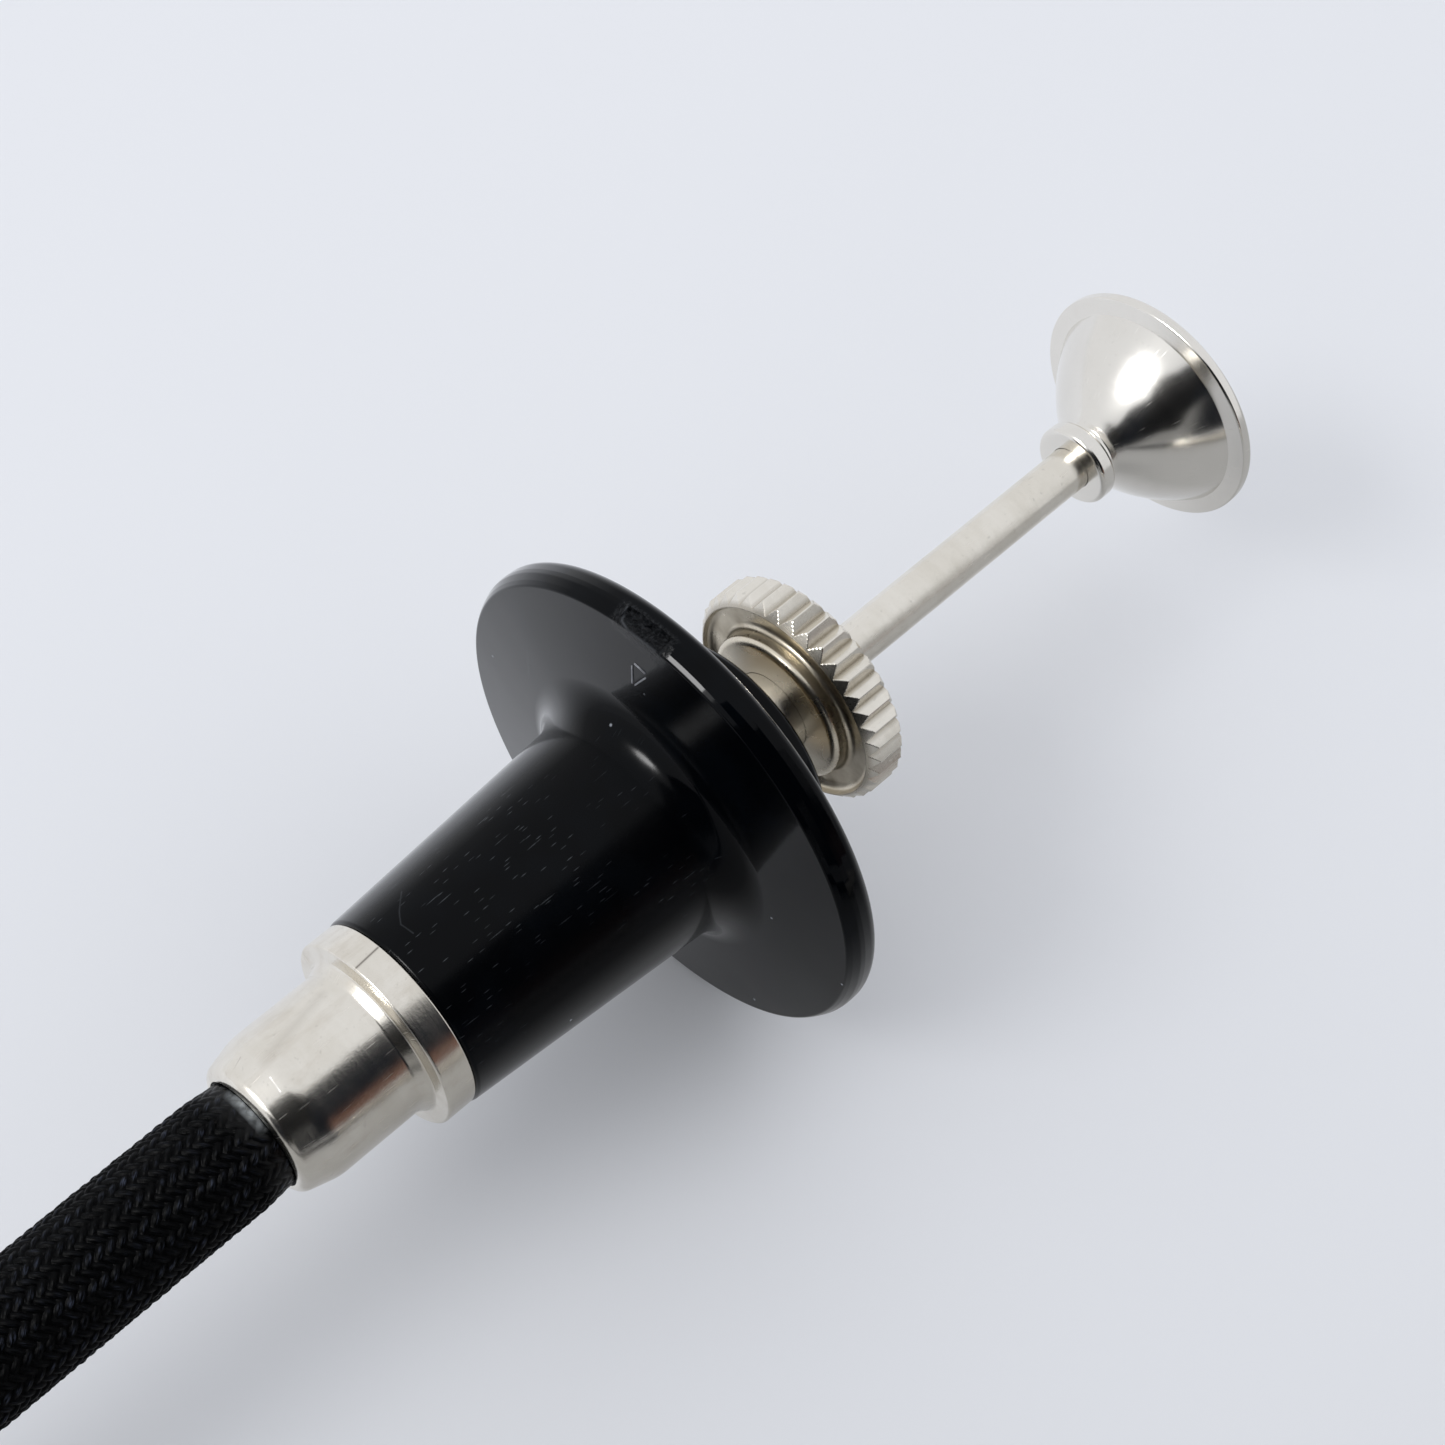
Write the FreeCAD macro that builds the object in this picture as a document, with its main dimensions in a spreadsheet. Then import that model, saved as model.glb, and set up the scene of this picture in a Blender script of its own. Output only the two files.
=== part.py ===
import FreeCAD
import Part

import math
import os

import Sketcher
from FreeCAD import Placement, Rotation, Vector

# Cable shutter release, handle lying on its flange rim with the cable folded beside it.
# +X runs along the handle from the cable end to the thumb plate, +Z is up, the floor is z = 0.
# Handle pieces are drawn along their own axis, measured from the middle of the flange.
# Camera fitting pieces are drawn along their own axis, measured from the back of the fitting.

os.makedirs("parts", exist_ok=True)
doc = FreeCAD.newDocument("cable_release")

SIZES = {
    # grip: a finger flange, a tapered body towards the cable and a boss towards the plunger
    "flange_radius": 11.0,
    "flange_thickness": 1.5,
    "flange_swell": 0.65,
    "rim_round": 0.55,
    "underside_round": 1.7,
    "topside_round": 1.0,
    "body_length": 14.43,
    "body_root_radius": 5.22,
    "body_end_radius": 4.35,
    "body_edge": 0.08,
    "boss_length": 4.0,
    "boss_root_radius": 5.4,
    "boss_top_radius": 5.0,
    "boss_edge": 0.4,
    "gate_width": 2.3,
    "gate_depth": 0.3,
    "gate_offset": 0.67,
    "gate_top": 0.1,
    # bores of the grip
    "lock_pocket_radius": 3.3,
    "lock_pocket_depth": 4.9,
    "main_bore_radius": 2.35,
    "socket_depth": 4.93,
    # fits
    "seat_gap": 0.02,
    "slide_gap": 0.05,
    "piston_gap": 0.07,
    "rod_gap": 0.08,
    "end_gap": 0.1,
    "bore_room": 0.4,
    # ferrule that holds the cable
    "ferrule_ring_radius": 4.3,
    "ferrule_ring_length": 1.37,
    "ferrule_step_slope": 0.5,
    "ferrule_edge": 0.1,
    "ferrule_barrel_radius": 3.3,
    "ferrule_barrel_length": 4.1,
    "ferrule_shoulder_length": 1.9,
    "ferrule_mouth_radius": 2.65,
    "ferrule_web": 0.8,
    "spigot_radius": 3.2,
    "crimp_depth": 2.4,
    "sheath_radius": 2.45,
    "wire_radius": 0.5,
    "wire_gap": 0.1,
    "wire_setback": 0.2,
    # plunger
    "plunger_travel": 12.0,
    "rod_radius": 1.0,
    "rod_exposed": 16.05,
    "rod_foot_depth": 1.5,
    "rod_head_depth": 3.85,
    "piston_flange": 1.2,
    "piston_shank_radius": 1.25,
    "piston_shank_length": 2.9,
    "piston_web": 0.3,
    "head_collar_radius": 1.9,
    "head_collar_length": 0.8,
    "head_collar_edge": 0.2,
    "head_neck_radius": 1.45,
    "head_neck_slope": 0.15,
    "head_neck_length": 0.25,
    "head_bell_start": 1.35,
    "head_bell_start_radius": 1.6,
    "head_bell_end": 4.85,
    "head_bell_end_radius": 4.8,
    "head_bell_bow": 9.9,
    "head_rim_radius": 5.6,
    "head_rim_lift": 0.12,
    "head_length": 5.55,
    "head_rim_round": 0.26,
    "head_dish_radius": 5.0,
    "head_dish_depth": 0.5,
    # lock inside the boss: three balls in a cage that jam between the rod and a cone
    "washer_thickness": 0.5,
    "bushing_proud": 0.3,
    "bushing_edge": 0.12,
    "cone_lead": 0.4,
    "cone_length": 3.05,
    "cone_rise": 0.48,
    "cone_bite": 0.1,
    "ball_radius": 0.6,
    "ball_gap": 0.02,
    "ball_pocket_gap": 0.03,
    "ball_count": 3,
    "cage_gap": 0.1,
    "cage_length": 1.6,
    "sleeve_wall": 0.77,
    "sleeve_foot": 0.25,
    "sleeve_foot_gap": 0.03,
    # knurled lock wheel
    "wheel_gap": 2.0,
    "wheel_height": 2.4,
    "wheel_web": 0.9,
    "wheel_radius": 5.15,
    "wheel_top_edge": 0.2,
    "wheel_skirt_edge": 0.28,
    "wheel_skirt_setback": 0.55,
    "wheel_lip": 0.04,
    "wheel_dish_depth": 0.92,
    "wheel_dish_radius": 4.6,
    "wheel_hub_radius": 3.5,
    "wheel_hub_edge": 0.1,
    "knurl_count": 38,
    "knurl_depth": 0.25,
    "knurl_width": 0.72,
    # springs: wire radius, mean coil radius and coils
    "return_wire": 0.18,
    "return_coil": 1.78,
    "return_turns": 6,
    "lock_wire": 0.08,
    "lock_coil": 1.6,
    "lock_turns": 3,
    "pin_wire_size": 0.16,
    "pin_coil": 1.5,
    "pin_turns": 5,
    # camera fitting: ferrule, spring loaded release pin and turning screw collar
    "tip_radius": 3.1,
    "tip_length": 21.4,
    "tip_shoulder_length": 1.8,
    "tip_mouth_radius": 2.65,
    "tip_web": 0.6,
    "tip_bore_radius": 1.95,
    "tip_plug_length": 1.8,
    "pin_radius": 0.75,
    "pin_end_edge": 0.2,
    "pin_flange": 1.0,
    "pin_flange_gap": 0.07,
    "pin_setback": 0.3,
    "pin_foot_depth": 1.2,
    "wire_tail_length": 12.6,
    "journal_radius": 1.45,
    "stem_flange_radius": 2.1,
    "stem_flange_start": 1.2,
    "stem_flange_length": 0.8,
    "collar_gap": 0.2,
    "collar_radius": 4.0,
    "collar_length": 4.4,
    "collar_edge": 0.3,
    "collar_shoulder": 1.0,
    "collar_cavity_depth": 2.0,
    "collar_face_radius": 2.6,
    "collar_knurl_count": 20,
    "collar_knurl_depth": 0.3,
    "collar_knurl_width": 0.9,
    "retainer_length": 0.8,
    "retainer_wall": 1.1,
    "taper_length": 4.3,
    "taper_root_radius": 1.8,
    "taper_tip_radius": 1.4,
    "pilot_radius": 1.35,
    "pilot_length": 0.7,
}


class Size:
    """A length that knows its value and the sheet expression it comes from."""

    def __init__(self, text, value):
        self.text = text
        self.value = value

    def join(self, sign, other, value):
        text = other.text if isinstance(other, Size) else repr(other)
        return Size("(%s %s %s)" % (self.text, sign, text), value)

    def __add__(self, other):
        return self.join("+", other, self.value + number(other))

    def __sub__(self, other):
        return self.join("-", other, self.value - number(other))

    def __mul__(self, other):
        return self.join("*", other, self.value * number(other))

    def __truediv__(self, other):
        return self.join("/", other, self.value / number(other))

    def __neg__(self):
        return Size("(0 - %s)" % self.text, -self.value)


def number(item):
    return item.value if isinstance(item, Size) else item


class Words:
    """Every named size as an attribute."""


s = Words()
sheet = doc.addObject("Spreadsheet::Sheet", "Sizes")
for row, (word, amount) in enumerate(SIZES.items(), 1):
    sheet.set("A%d" % row, word)
    sheet.set("B%d" % row, str(amount))
    sheet.setAlias("B%d" % row, word)
    setattr(s, word, Size("Sizes." + word, amount))
doc.recompute()

# Stations along the handle, from the middle of the flange.
flange_top = s.flange_thickness / 2
flange_root = -(flange_top + s.flange_swell)
boss_top = s.boss_length
pocket_floor = boss_top - s.lock_pocket_depth
body_end = -s.body_length
socket_floor = body_end + s.socket_depth
ferrule_step = body_end - s.ferrule_ring_length
barrel_back = ferrule_step - s.ferrule_barrel_length
ferrule_end = barrel_back - s.ferrule_shoulder_length
crimp_floor = ferrule_end + s.crimp_depth
spring_seat = crimp_floor + s.ferrule_web
washer_top = pocket_floor + s.washer_thickness
bushing_top = boss_top + s.bushing_proud
cone_start = washer_top + s.cone_lead
cone_end = cone_start + s.cone_length
foot_top = cone_end - s.sleeve_foot_gap
foot_bottom = foot_top - s.sleeve_foot
cage_bottom = foot_bottom - s.cage_length
ball_station = foot_bottom - s.cage_length / 2
hub_face = boss_top + s.wheel_gap
wheel_skirt = hub_face + s.wheel_skirt_setback
dish_floor = hub_face + s.wheel_dish_depth
wheel_top = hub_face + s.wheel_height
sleeve_top = wheel_top - s.wheel_web
piston_top = pocket_floor
piston_seat = piston_top - s.piston_flange
rod_foot = piston_top - s.rod_foot_depth
wire_top = rod_foot - s.piston_web
wire_end = ferrule_end + s.wire_setback
head_start = wheel_top + s.rod_exposed
rod_top = head_start + s.rod_head_depth
head_end = head_start + s.head_length

# Radii that follow from the fits.
rod_hole = s.rod_radius + s.rod_gap
rod_fit = s.rod_radius + s.seat_gap
wire_hole = s.wire_radius + s.wire_gap
wire_fit = s.wire_radius + s.seat_gap
piston_radius = s.main_bore_radius - s.piston_gap
socket_radius = s.spigot_radius + s.seat_gap
crimp_radius = s.sheath_radius + s.seat_gap
bushing_radius = s.lock_pocket_radius - s.seat_gap
cone_small = s.rod_radius + s.ball_radius * 2 - s.cone_bite
cone_big = cone_small + s.cone_rise
cage_radius = cone_small - s.cage_gap
foot_radius = cone_small - s.slide_gap
sleeve_radius = rod_hole + s.sleeve_wall
guide_radius = sleeve_radius + s.slide_gap
ball_circle = s.rod_radius + s.ball_radius + s.ball_gap

# Stations and radii of the camera fitting, from its back.
tip_crimp = s.crimp_depth
tip_seat = tip_crimp + s.tip_web
pin_back = tip_seat + s.end_gap
pin_shoulder = pin_back + s.pin_flange
wire_tail = pin_back + s.pin_foot_depth
plug_back = s.tip_length - s.tip_plug_length
flange_back = s.tip_length + s.stem_flange_start
flange_front = flange_back + s.stem_flange_length
collar_back = s.tip_length + s.collar_gap
retainer_front = collar_back + s.retainer_length
cavity_front = collar_back + s.collar_cavity_depth
collar_front = collar_back + s.collar_length
taper_back = collar_front + s.collar_shoulder
taper_front = taper_back + s.taper_length
nose = taper_front + s.pilot_length
pin_front = nose - s.pin_setback
pin_hole = s.pin_radius + s.slide_gap
plug_radius = s.tip_bore_radius - s.seat_gap
pin_flange_radius = s.tip_bore_radius - s.pin_flange_gap
cavity_radius = s.stem_flange_radius + s.end_gap
retainer_hole = s.journal_radius + s.slide_gap
retainer_radius = retainer_hole + s.retainer_wall

# The handle is centred on x = 0 and its flange rim stands on the floor.
handle_middle = (head_end + ferrule_end) / 2
handle_start = ferrule_end - handle_middle
handle_height = s.flange_radius

# Route of the cable, point by point, from the ferrule to the back of the camera fitting.
CABLE = [
    (handle_start.value, 0.0, handle_height.value),
    (-51.9, 0.0, handle_height.value),
    (-78.6, 1.8, 5.2),
    (-104.6, 4.9, 2.45),
    (-121.7, -5.8, 2.45),
    (-128.4, -23.1, 2.45),
    (-123.3, -41.4, 2.45),
    (-108.2, -53.0, 2.45),
    (-86.0, -53.4, 2.45),
    (-60.9, -50.9, 3.0),
    (-36.2, -51.0, 4.05),
    (-11.6, -51.0, 4.05),
]
CABLE_SPLITS = (2, 7)
BEND_SHARE = 0.45

NODES = []


def keep(obj, label):
    obj.Label = label
    NODES.append(obj)
    return obj


def place(obj, where, along=None):
    """Put a piece on the handle's axis or on the camera fitting's axis."""
    shift = along or Size("0", 0.0)
    if where == "handle":
        obj.setExpression("Placement.Base.x", (shift - handle_middle).text)
        obj.setExpression("Placement.Base.z", handle_height.text)
    else:
        across, side, up = CABLE[-1]
        obj.setExpression("Placement.Base.x", (shift + across).text)
        obj.setExpression("Placement.Base.y", repr(side))
        obj.setExpression("Placement.Base.z", repr(up))


def origin_part(body, role):
    return next(item for item in body.Origin.OriginFeatures if item.Role == role)


def new_sketch(body, name, role):
    sketch = body.newObject("Sketcher::SketchObject", name)
    sketch.AttachmentSupport = [(origin_part(body, role), "")]
    sketch.MapMode = "FlatFace"
    sketch.Visibility = False
    return sketch


def fix_size(sketch, rule, size):
    index = sketch.addConstraint(rule)
    if isinstance(size, Size):
        sketch.setExpression("Constraints[%d]" % index, size.text)


def fix_point(sketch, line, end, across, up):
    """Tie one end of a sketch line to its two sizes."""
    for kind, size, axis in (("DistanceX", across, -2), ("DistanceY", up, -1)):
        if number(size) == 0:
            sketch.addConstraint(Sketcher.Constraint("PointOnObject", line, end, axis))
        else:
            fix_size(sketch, Sketcher.Constraint(kind, -1, 1, line, end, number(size)), size)


def bow_middle(first, last, radius, hollow):
    """Middle of an arc, to the left of the way from first to last, or right if hollow."""
    chord = last - first
    half = chord.Length / 2
    rise = radius - math.sqrt(radius * radius - half * half)
    side = Vector(-chord.y, chord.x, 0).normalize()
    return (first + last) * 0.5 + side * (-rise if hollow else rise)


def draw_outline(sketch, corners, bows=None):
    """Closed outline; bows gives the radius and side of the arc that leaves a corner."""
    bows = bows or {}
    points = [Vector(number(a), number(b), 0) for a, b in corners]
    count = len(points)
    ends = []
    for i, first in enumerate(points):
        last = points[(i + 1) % count]
        if i in bows:
            radius, hollow = bows[i]
            middle = bow_middle(first, last, radius.value, hollow)
            ways = (first, last) if hollow else (last, first)
            sketch.addGeometry(Part.Arc(ways[0], middle, ways[1]))
            ends.append((1, 2) if hollow else (2, 1))
        else:
            sketch.addGeometry(Part.LineSegment(first, last))
            ends.append((1, 2))
    for i in range(count):
        after = (i + 1) % count
        rule = Sketcher.Constraint("Coincident", i, ends[i][1], after, ends[after][0])
        sketch.addConstraint(rule)
    for i, (across, up) in enumerate(corners):
        fix_point(sketch, i, ends[i][0], across, up)
    for i, (radius, hollow) in bows.items():
        fix_size(sketch, Sketcher.Constraint("Radius", i, radius.value), radius)


def turned(label, corners, bows=None, where="handle"):
    """A body turned about the X axis from its half outline."""
    body = keep(doc.addObject("PartDesign::Body", label), label)
    place(body, where)
    sketch = new_sketch(body, label + "_outline", "XY_Plane")
    draw_outline(sketch, corners, bows)
    turn = body.newObject("PartDesign::Revolution", label + "_turn")
    turn.Profile = sketch
    turn.ReferenceAxis = (sketch, ["H_Axis"])
    turn.Angle = 360
    doc.recompute()
    return body


def ring_edges(shape, rings):
    """Names of the circular edges at the given stations and radii."""
    names = []
    for index, edge in enumerate(shape.Edges, 1):
        if edge.Degenerated or not isinstance(edge.Curve, Part.Circle):
            continue
        for along, radius in rings:
            near = abs(edge.Curve.Center.x - number(along)) < 1e-4
            if near and abs(edge.Curve.Radius - number(radius)) < 1e-4:
                names.append("Edge%d" % index)
    return names


def soften(body, kind, name, rings, size):
    """A fillet or a chamfer along rings of a turned body."""
    base = body.Tip
    feature = body.newObject("PartDesign::" + kind, name)
    feature.Base = (base, ring_edges(base.Shape, rings))
    feature.setExpression("Radius" if kind == "Fillet" else "Size", size.text)
    doc.recompute()


def cut_forward(body, name, sketch, depth):
    """Cut a sketch out of a body along the sketch plane's normal."""
    before = body.Tip.Shape.Volume
    cut = body.newObject("PartDesign::Pocket", name)
    cut.Profile = sketch
    cut.setExpression("Length", depth.text)
    cut.Reversed = True
    doc.recompute()
    if cut.Shape.Volume > before - 1e-6:
        raise RuntimeError(name + " cuts nothing")
    return cut


def around(body, name, feature, count):
    """Repeat a cut around the X axis."""
    pattern = body.newObject("PartDesign::PolarPattern", name)
    pattern.Originals = [feature]
    pattern.Axis = (origin_part(body, "X_Axis"), [""])
    pattern.Angle = 360
    pattern.setExpression("Occurrences", count.text)
    body.Tip = pattern
    doc.recompute()


def knurl(body, radius, depth, width, reach, count):
    """Straight V grooves around a rim; the V is drawn to twice its depth and width."""
    sketch = new_sketch(body, body.Label + "_groove_outline", "YZ_Plane")
    proud = radius + depth
    draw_outline(sketch, [(-width, proud), (0, radius - depth), (width, proud)])
    doc.recompute()
    groove = cut_forward(body, body.Label + "_groove", sketch, reach)
    around(body, body.Label + "_knurl", groove, count)


def rod(label, radius, start, stop, where="handle"):
    """A round bar along X."""
    bar = keep(doc.addObject("Part::Cylinder", label), label)
    bar.setExpression("Radius", radius.text)
    bar.setExpression("Height", (stop - start).text)
    bar.Placement.Rotation = Rotation(Vector(0, 1, 0), 90)
    place(bar, where, start)


def biarc(first, way, last, far_way):
    """Two arcs from first to last that leave and arrive along the given directions."""
    chord = last - first
    both = way + far_way
    spread = 2 * (1 - way.dot(far_way))
    lean = chord.dot(both)
    reach = (math.sqrt(lean * lean + spread * chord.dot(chord)) - lean) / spread
    joint = (first + way * reach + last - far_way * reach) * 0.5
    return [arc(first, way, joint), arc(last, far_way * -1, joint)]


def arc(first, way, last):
    """The arc that leaves first along way and ends at last."""
    chord = last - first
    across = (chord - way * chord.dot(way)).normalize()
    radius = chord.dot(chord) / (2 * chord.dot(across))
    centre = first + across * radius
    middle = centre + ((first - centre) + (last - centre)).normalize() * radius
    return Part.Arc(first, middle, last).toShape()


def coil_stations(start, stop, wire, turns, steps):
    """Stations of a coil with one closed turn at each end, steps to a turn."""
    first = start + wire
    length = stop - start - 2 * wire
    closed = min(2.3 * wire, length / turns)
    open_pitch = (length - 2 * closed) / (turns - 2)
    out = [first]
    for step in range(turns * steps):
        turn = step // steps
        pitch = closed if turn in (0, turns - 1) else open_pitch
        out.append(out[-1] + pitch / steps)
    return out


def facet_ring(centre, way, radius):
    """A six-sided wire section square to its way, to keep the hidden coils light."""
    across = way.cross(Vector(1, 0, 0)).normalize()
    up = way.cross(across).normalize()
    turns = [math.pi * i / 3 for i in range(7)]
    spots = [across * radius * math.cos(a) + up * radius * math.sin(a) for a in turns]
    return Part.makePolygon([centre + spot for spot in spots])


def spring(label, start, stop, radius, wire, turns, where="handle"):
    """A wound spring about the X axis, standing between two seats."""
    steps = 2
    radius = radius.value
    wire = wire.value
    along = coil_stations(start.value, stop.value, wire, int(turns.value), steps)
    angles = [2 * math.pi * i / steps for i in range(len(along))]
    points = [Vector(x, radius * math.cos(a), radius * math.sin(a)) for x, a in zip(along, angles)]
    rises = [b - a for a, b in zip(along, along[1:])]
    ways = []
    for i, angle in enumerate(angles):
        rise = (rises[max(i - 1, 0)] + rises[min(i, len(rises) - 1)]) / 2
        run = radius * 2 * math.pi / steps
        way = Vector(rise, -run * math.sin(angle), run * math.cos(angle))
        ways.append(way.normalize())
    edges = []
    for i in range(len(points) - 1):
        pair = biarc(points[i], ways[i], points[i + 1], ways[i + 1])
        edges.extend(pair)
    line = Part.Wire(Part.__sortEdges__(edges))
    piece = keep(doc.addObject("Part::Feature", label), label)
    piece.Shape = line.makePipeShell([facet_ring(points[0], ways[0], wire)], True, False)
    if where == "handle":
        piece.Placement = Placement(Vector(-handle_middle.value, 0, handle_height.value), Rotation())
    else:
        piece.Placement = Placement(Vector(*CABLE[-1]), Rotation())
    print(label, "pitch", round(max(rises) * steps, 3), "least", round(min(rises) * steps, 3))


def make_grip_body():
    body = turned("grip_body", [
        (body_end, socket_radius),
        (body_end, s.body_end_radius),
        (flange_root, s.body_root_radius),
        (-flange_top, s.flange_radius),
        (flange_top, s.flange_radius),
        (flange_top, s.boss_root_radius),
        (boss_top, s.boss_top_radius),
        (boss_top, s.lock_pocket_radius),
        (pocket_floor, s.lock_pocket_radius),
        (pocket_floor, s.main_bore_radius),
        (socket_floor, s.main_bore_radius),
        (socket_floor, socket_radius),
    ])
    rims = [(-flange_top, s.flange_radius), (flange_top, s.flange_radius)]
    soften(body, "Fillet", "rim_round", rims, s.rim_round)
    root = [(flange_root, s.body_root_radius)]
    soften(body, "Fillet", "underside_round", root, s.underside_round)
    soften(body, "Fillet", "topside_round", [(flange_top, s.boss_root_radius)], s.topside_round)
    soften(body, "Fillet", "boss_edge", [(boss_top, s.boss_top_radius)], s.boss_edge)
    soften(body, "Chamfer", "body_edge", [(body_end, s.body_end_radius)], s.body_edge)
    make_gate(body)


def make_gate(body):
    """The shallow notch that moulding leaves in the rim, near its highest point."""
    sketch = new_sketch(body, "gate_outline", "XY_Plane")
    sketch.setExpression("AttachmentOffset.Base.z", (s.flange_radius - s.gate_depth).text)
    left = s.gate_offset - s.gate_width / 2
    right = s.gate_offset + s.gate_width / 2
    back = flange_root
    front = -s.gate_top
    draw_outline(sketch, [(back, left), (front, left), (front, right), (back, right)])
    doc.recompute()
    cut_forward(body, "gate", sketch, s.gate_depth * 2)


def make_cable_ferrule():
    shoulder = s.ferrule_shoulder_length
    drop = s.ferrule_barrel_radius - s.ferrule_mouth_radius
    bow = (shoulder * shoulder + drop * drop) / (drop * 2)
    body = turned("cable_ferrule", [
        (ferrule_end, crimp_radius),
        (ferrule_end, s.ferrule_mouth_radius),
        (barrel_back, s.ferrule_barrel_radius),
        (ferrule_step - s.ferrule_step_slope, s.ferrule_barrel_radius),
        (ferrule_step, s.ferrule_ring_radius),
        (body_end, s.ferrule_ring_radius),
        (body_end, s.spigot_radius),
        (socket_floor - s.end_gap, s.spigot_radius),
        (socket_floor - s.end_gap, s.main_bore_radius),
        (spring_seat, s.main_bore_radius),
        (spring_seat, wire_hole),
        (crimp_floor, wire_hole),
        (crimp_floor, crimp_radius),
    ], {1: (bow, False)})
    ring = [(ferrule_step, s.ferrule_ring_radius), (body_end, s.ferrule_ring_radius)]
    soften(body, "Chamfer", "ring_edges", ring, s.ferrule_edge)


def make_sheath_root():
    turned("sheath_root", [
        (ferrule_end, wire_hole),
        (ferrule_end, s.sheath_radius),
        (crimp_floor, s.sheath_radius),
        (crimp_floor, wire_hole),
    ])


def make_stop_washer():
    turned("stop_washer", [
        (pocket_floor, rod_hole),
        (pocket_floor, bushing_radius),
        (washer_top, bushing_radius),
        (washer_top, rod_hole),
    ])


def make_lock_bushing():
    body = turned("lock_bushing", [
        (washer_top, cone_big),
        (washer_top, bushing_radius),
        (bushing_top, bushing_radius),
        (bushing_top, guide_radius),
        (cone_end, guide_radius),
        (cone_end, cone_small),
        (cone_start, cone_big),
    ])
    soften(body, "Chamfer", "bushing_edge", [(bushing_top, bushing_radius)], s.bushing_edge)


def make_ball_cage():
    body = turned("ball_cage", [
        (cage_bottom, rod_hole),
        (cage_bottom, cage_radius),
        (foot_bottom, cage_radius),
        (foot_bottom, rod_hole),
    ])
    sketch = new_sketch(body, "ball_pocket_outline", "XY_Plane")
    reach = s.ball_radius + s.ball_pocket_gap
    centre = Vector(ball_station.value, 0, 0)
    sketch.addGeometry(Part.Circle(centre, Vector(0, 0, 1), reach.value))
    fix_size(sketch, Sketcher.Constraint("Radius", 0, reach.value), reach)
    fix_point(sketch, 0, 3, ball_station, 0)
    doc.recompute()
    cut = cut_forward(body, "ball_pocket", sketch, cage_radius * 2)
    around(body, "ball_pockets", cut, s.ball_count)


def make_lock_balls():
    balls = []
    count = int(s.ball_count.value)
    for i in range(count):
        ball = doc.addObject("Part::Sphere", "ball_%d" % (i + 1))
        angle = 2 * math.pi * i / count
        ball.setExpression("Radius", s.ball_radius.text)
        ball.setExpression("Placement.Base.x", ball_station.text)
        ball.setExpression("Placement.Base.y", (ball_circle * -math.sin(angle)).text)
        ball.setExpression("Placement.Base.z", (ball_circle * math.cos(angle)).text)
        balls.append(ball)
    group = keep(doc.addObject("Part::MultiFuse", "lock_balls"), "lock_balls")
    group.Shapes = balls
    place(group, "handle")


def make_lock_sleeve():
    turned("lock_sleeve", [
        (foot_bottom, rod_hole),
        (foot_bottom, foot_radius),
        (foot_top, foot_radius),
        (foot_top, sleeve_radius),
        (sleeve_top, sleeve_radius),
        (sleeve_top, rod_hole),
    ])


def make_lock_wheel():
    bore = sleeve_radius + s.seat_gap
    skirt_inner = s.wheel_radius - s.wheel_skirt_edge
    body = turned("lock_wheel", [
        (hub_face, bore),
        (hub_face, s.wheel_hub_radius),
        (dish_floor, s.wheel_hub_radius),
        (dish_floor, s.wheel_dish_radius),
        (wheel_skirt, skirt_inner - s.wheel_lip),
        (wheel_skirt, skirt_inner),
        (wheel_skirt + s.wheel_skirt_edge, s.wheel_radius),
        (wheel_top, s.wheel_radius),
        (wheel_top, rod_hole),
        (sleeve_top, rod_hole),
        (sleeve_top, bore),
    ])
    soften(body, "Chamfer", "wheel_top_edge", [(wheel_top, s.wheel_radius)], s.wheel_top_edge)
    soften(body, "Chamfer", "hub_edge", [(hub_face, s.wheel_hub_radius)], s.wheel_hub_edge)
    knurl(body, s.wheel_radius, s.knurl_depth, s.knurl_width, wheel_top * 2, s.knurl_count)


def make_plunger():
    rod("plunger_rod", s.rod_radius, rod_foot, rod_top)
    turned("plunger_piston", [
        (piston_seat - s.piston_shank_length, wire_fit),
        (piston_seat - s.piston_shank_length, s.piston_shank_radius),
        (piston_seat, s.piston_shank_radius),
        (piston_seat, piston_radius),
        (piston_top, piston_radius),
        (piston_top, rod_fit),
        (rod_foot, rod_fit),
        (rod_foot, 0),
        (wire_top, 0),
        (wire_top, wire_fit),
    ])
    rod("release_wire", s.wire_radius, wire_end, wire_top)


def make_plunger_head():
    """Thumb plate: a collar, a neck, a bell that swells to the rim, and a dished face."""
    neck = head_start + s.head_collar_length + s.head_neck_slope
    dish = s.head_dish_depth
    dish_bow = (s.head_dish_radius * s.head_dish_radius + dish * dish) / (dish * 2)
    bell_end = head_start + s.head_bell_end
    body = turned("plunger_head", [
        (head_start, rod_fit),
        (head_start, s.head_collar_radius),
        (head_start + s.head_collar_length, s.head_collar_radius),
        (neck, s.head_neck_radius),
        (neck + s.head_neck_length, s.head_neck_radius),
        (head_start + s.head_bell_start, s.head_bell_start_radius),
        (bell_end, s.head_bell_end_radius),
        (bell_end + s.head_rim_lift, s.head_rim_radius),
        (head_end, s.head_rim_radius),
        (head_end, s.head_dish_radius),
        (head_end - dish, 0),
        (rod_top, 0),
        (rod_top, rod_fit),
    ], {5: (s.head_bell_bow, False), 9: (dish_bow, True)})
    collar = [
        (head_start, s.head_collar_radius),
        (head_start + s.head_collar_length, s.head_collar_radius),
    ]
    soften(body, "Chamfer", "collar_edge", collar, s.head_collar_edge)
    soften(body, "Fillet", "head_rim_round", [(head_end, s.head_rim_radius)], s.head_rim_round)


def make_springs():
    spring("return_spring", spring_seat, piston_seat, s.return_coil, s.return_wire, s.return_turns)
    spring("lock_spring", washer_top, cage_bottom, s.lock_coil, s.lock_wire, s.lock_turns)
    spring("pin_spring", pin_shoulder, plug_back, s.pin_coil, s.pin_wire_size, s.pin_turns, "tip")


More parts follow.
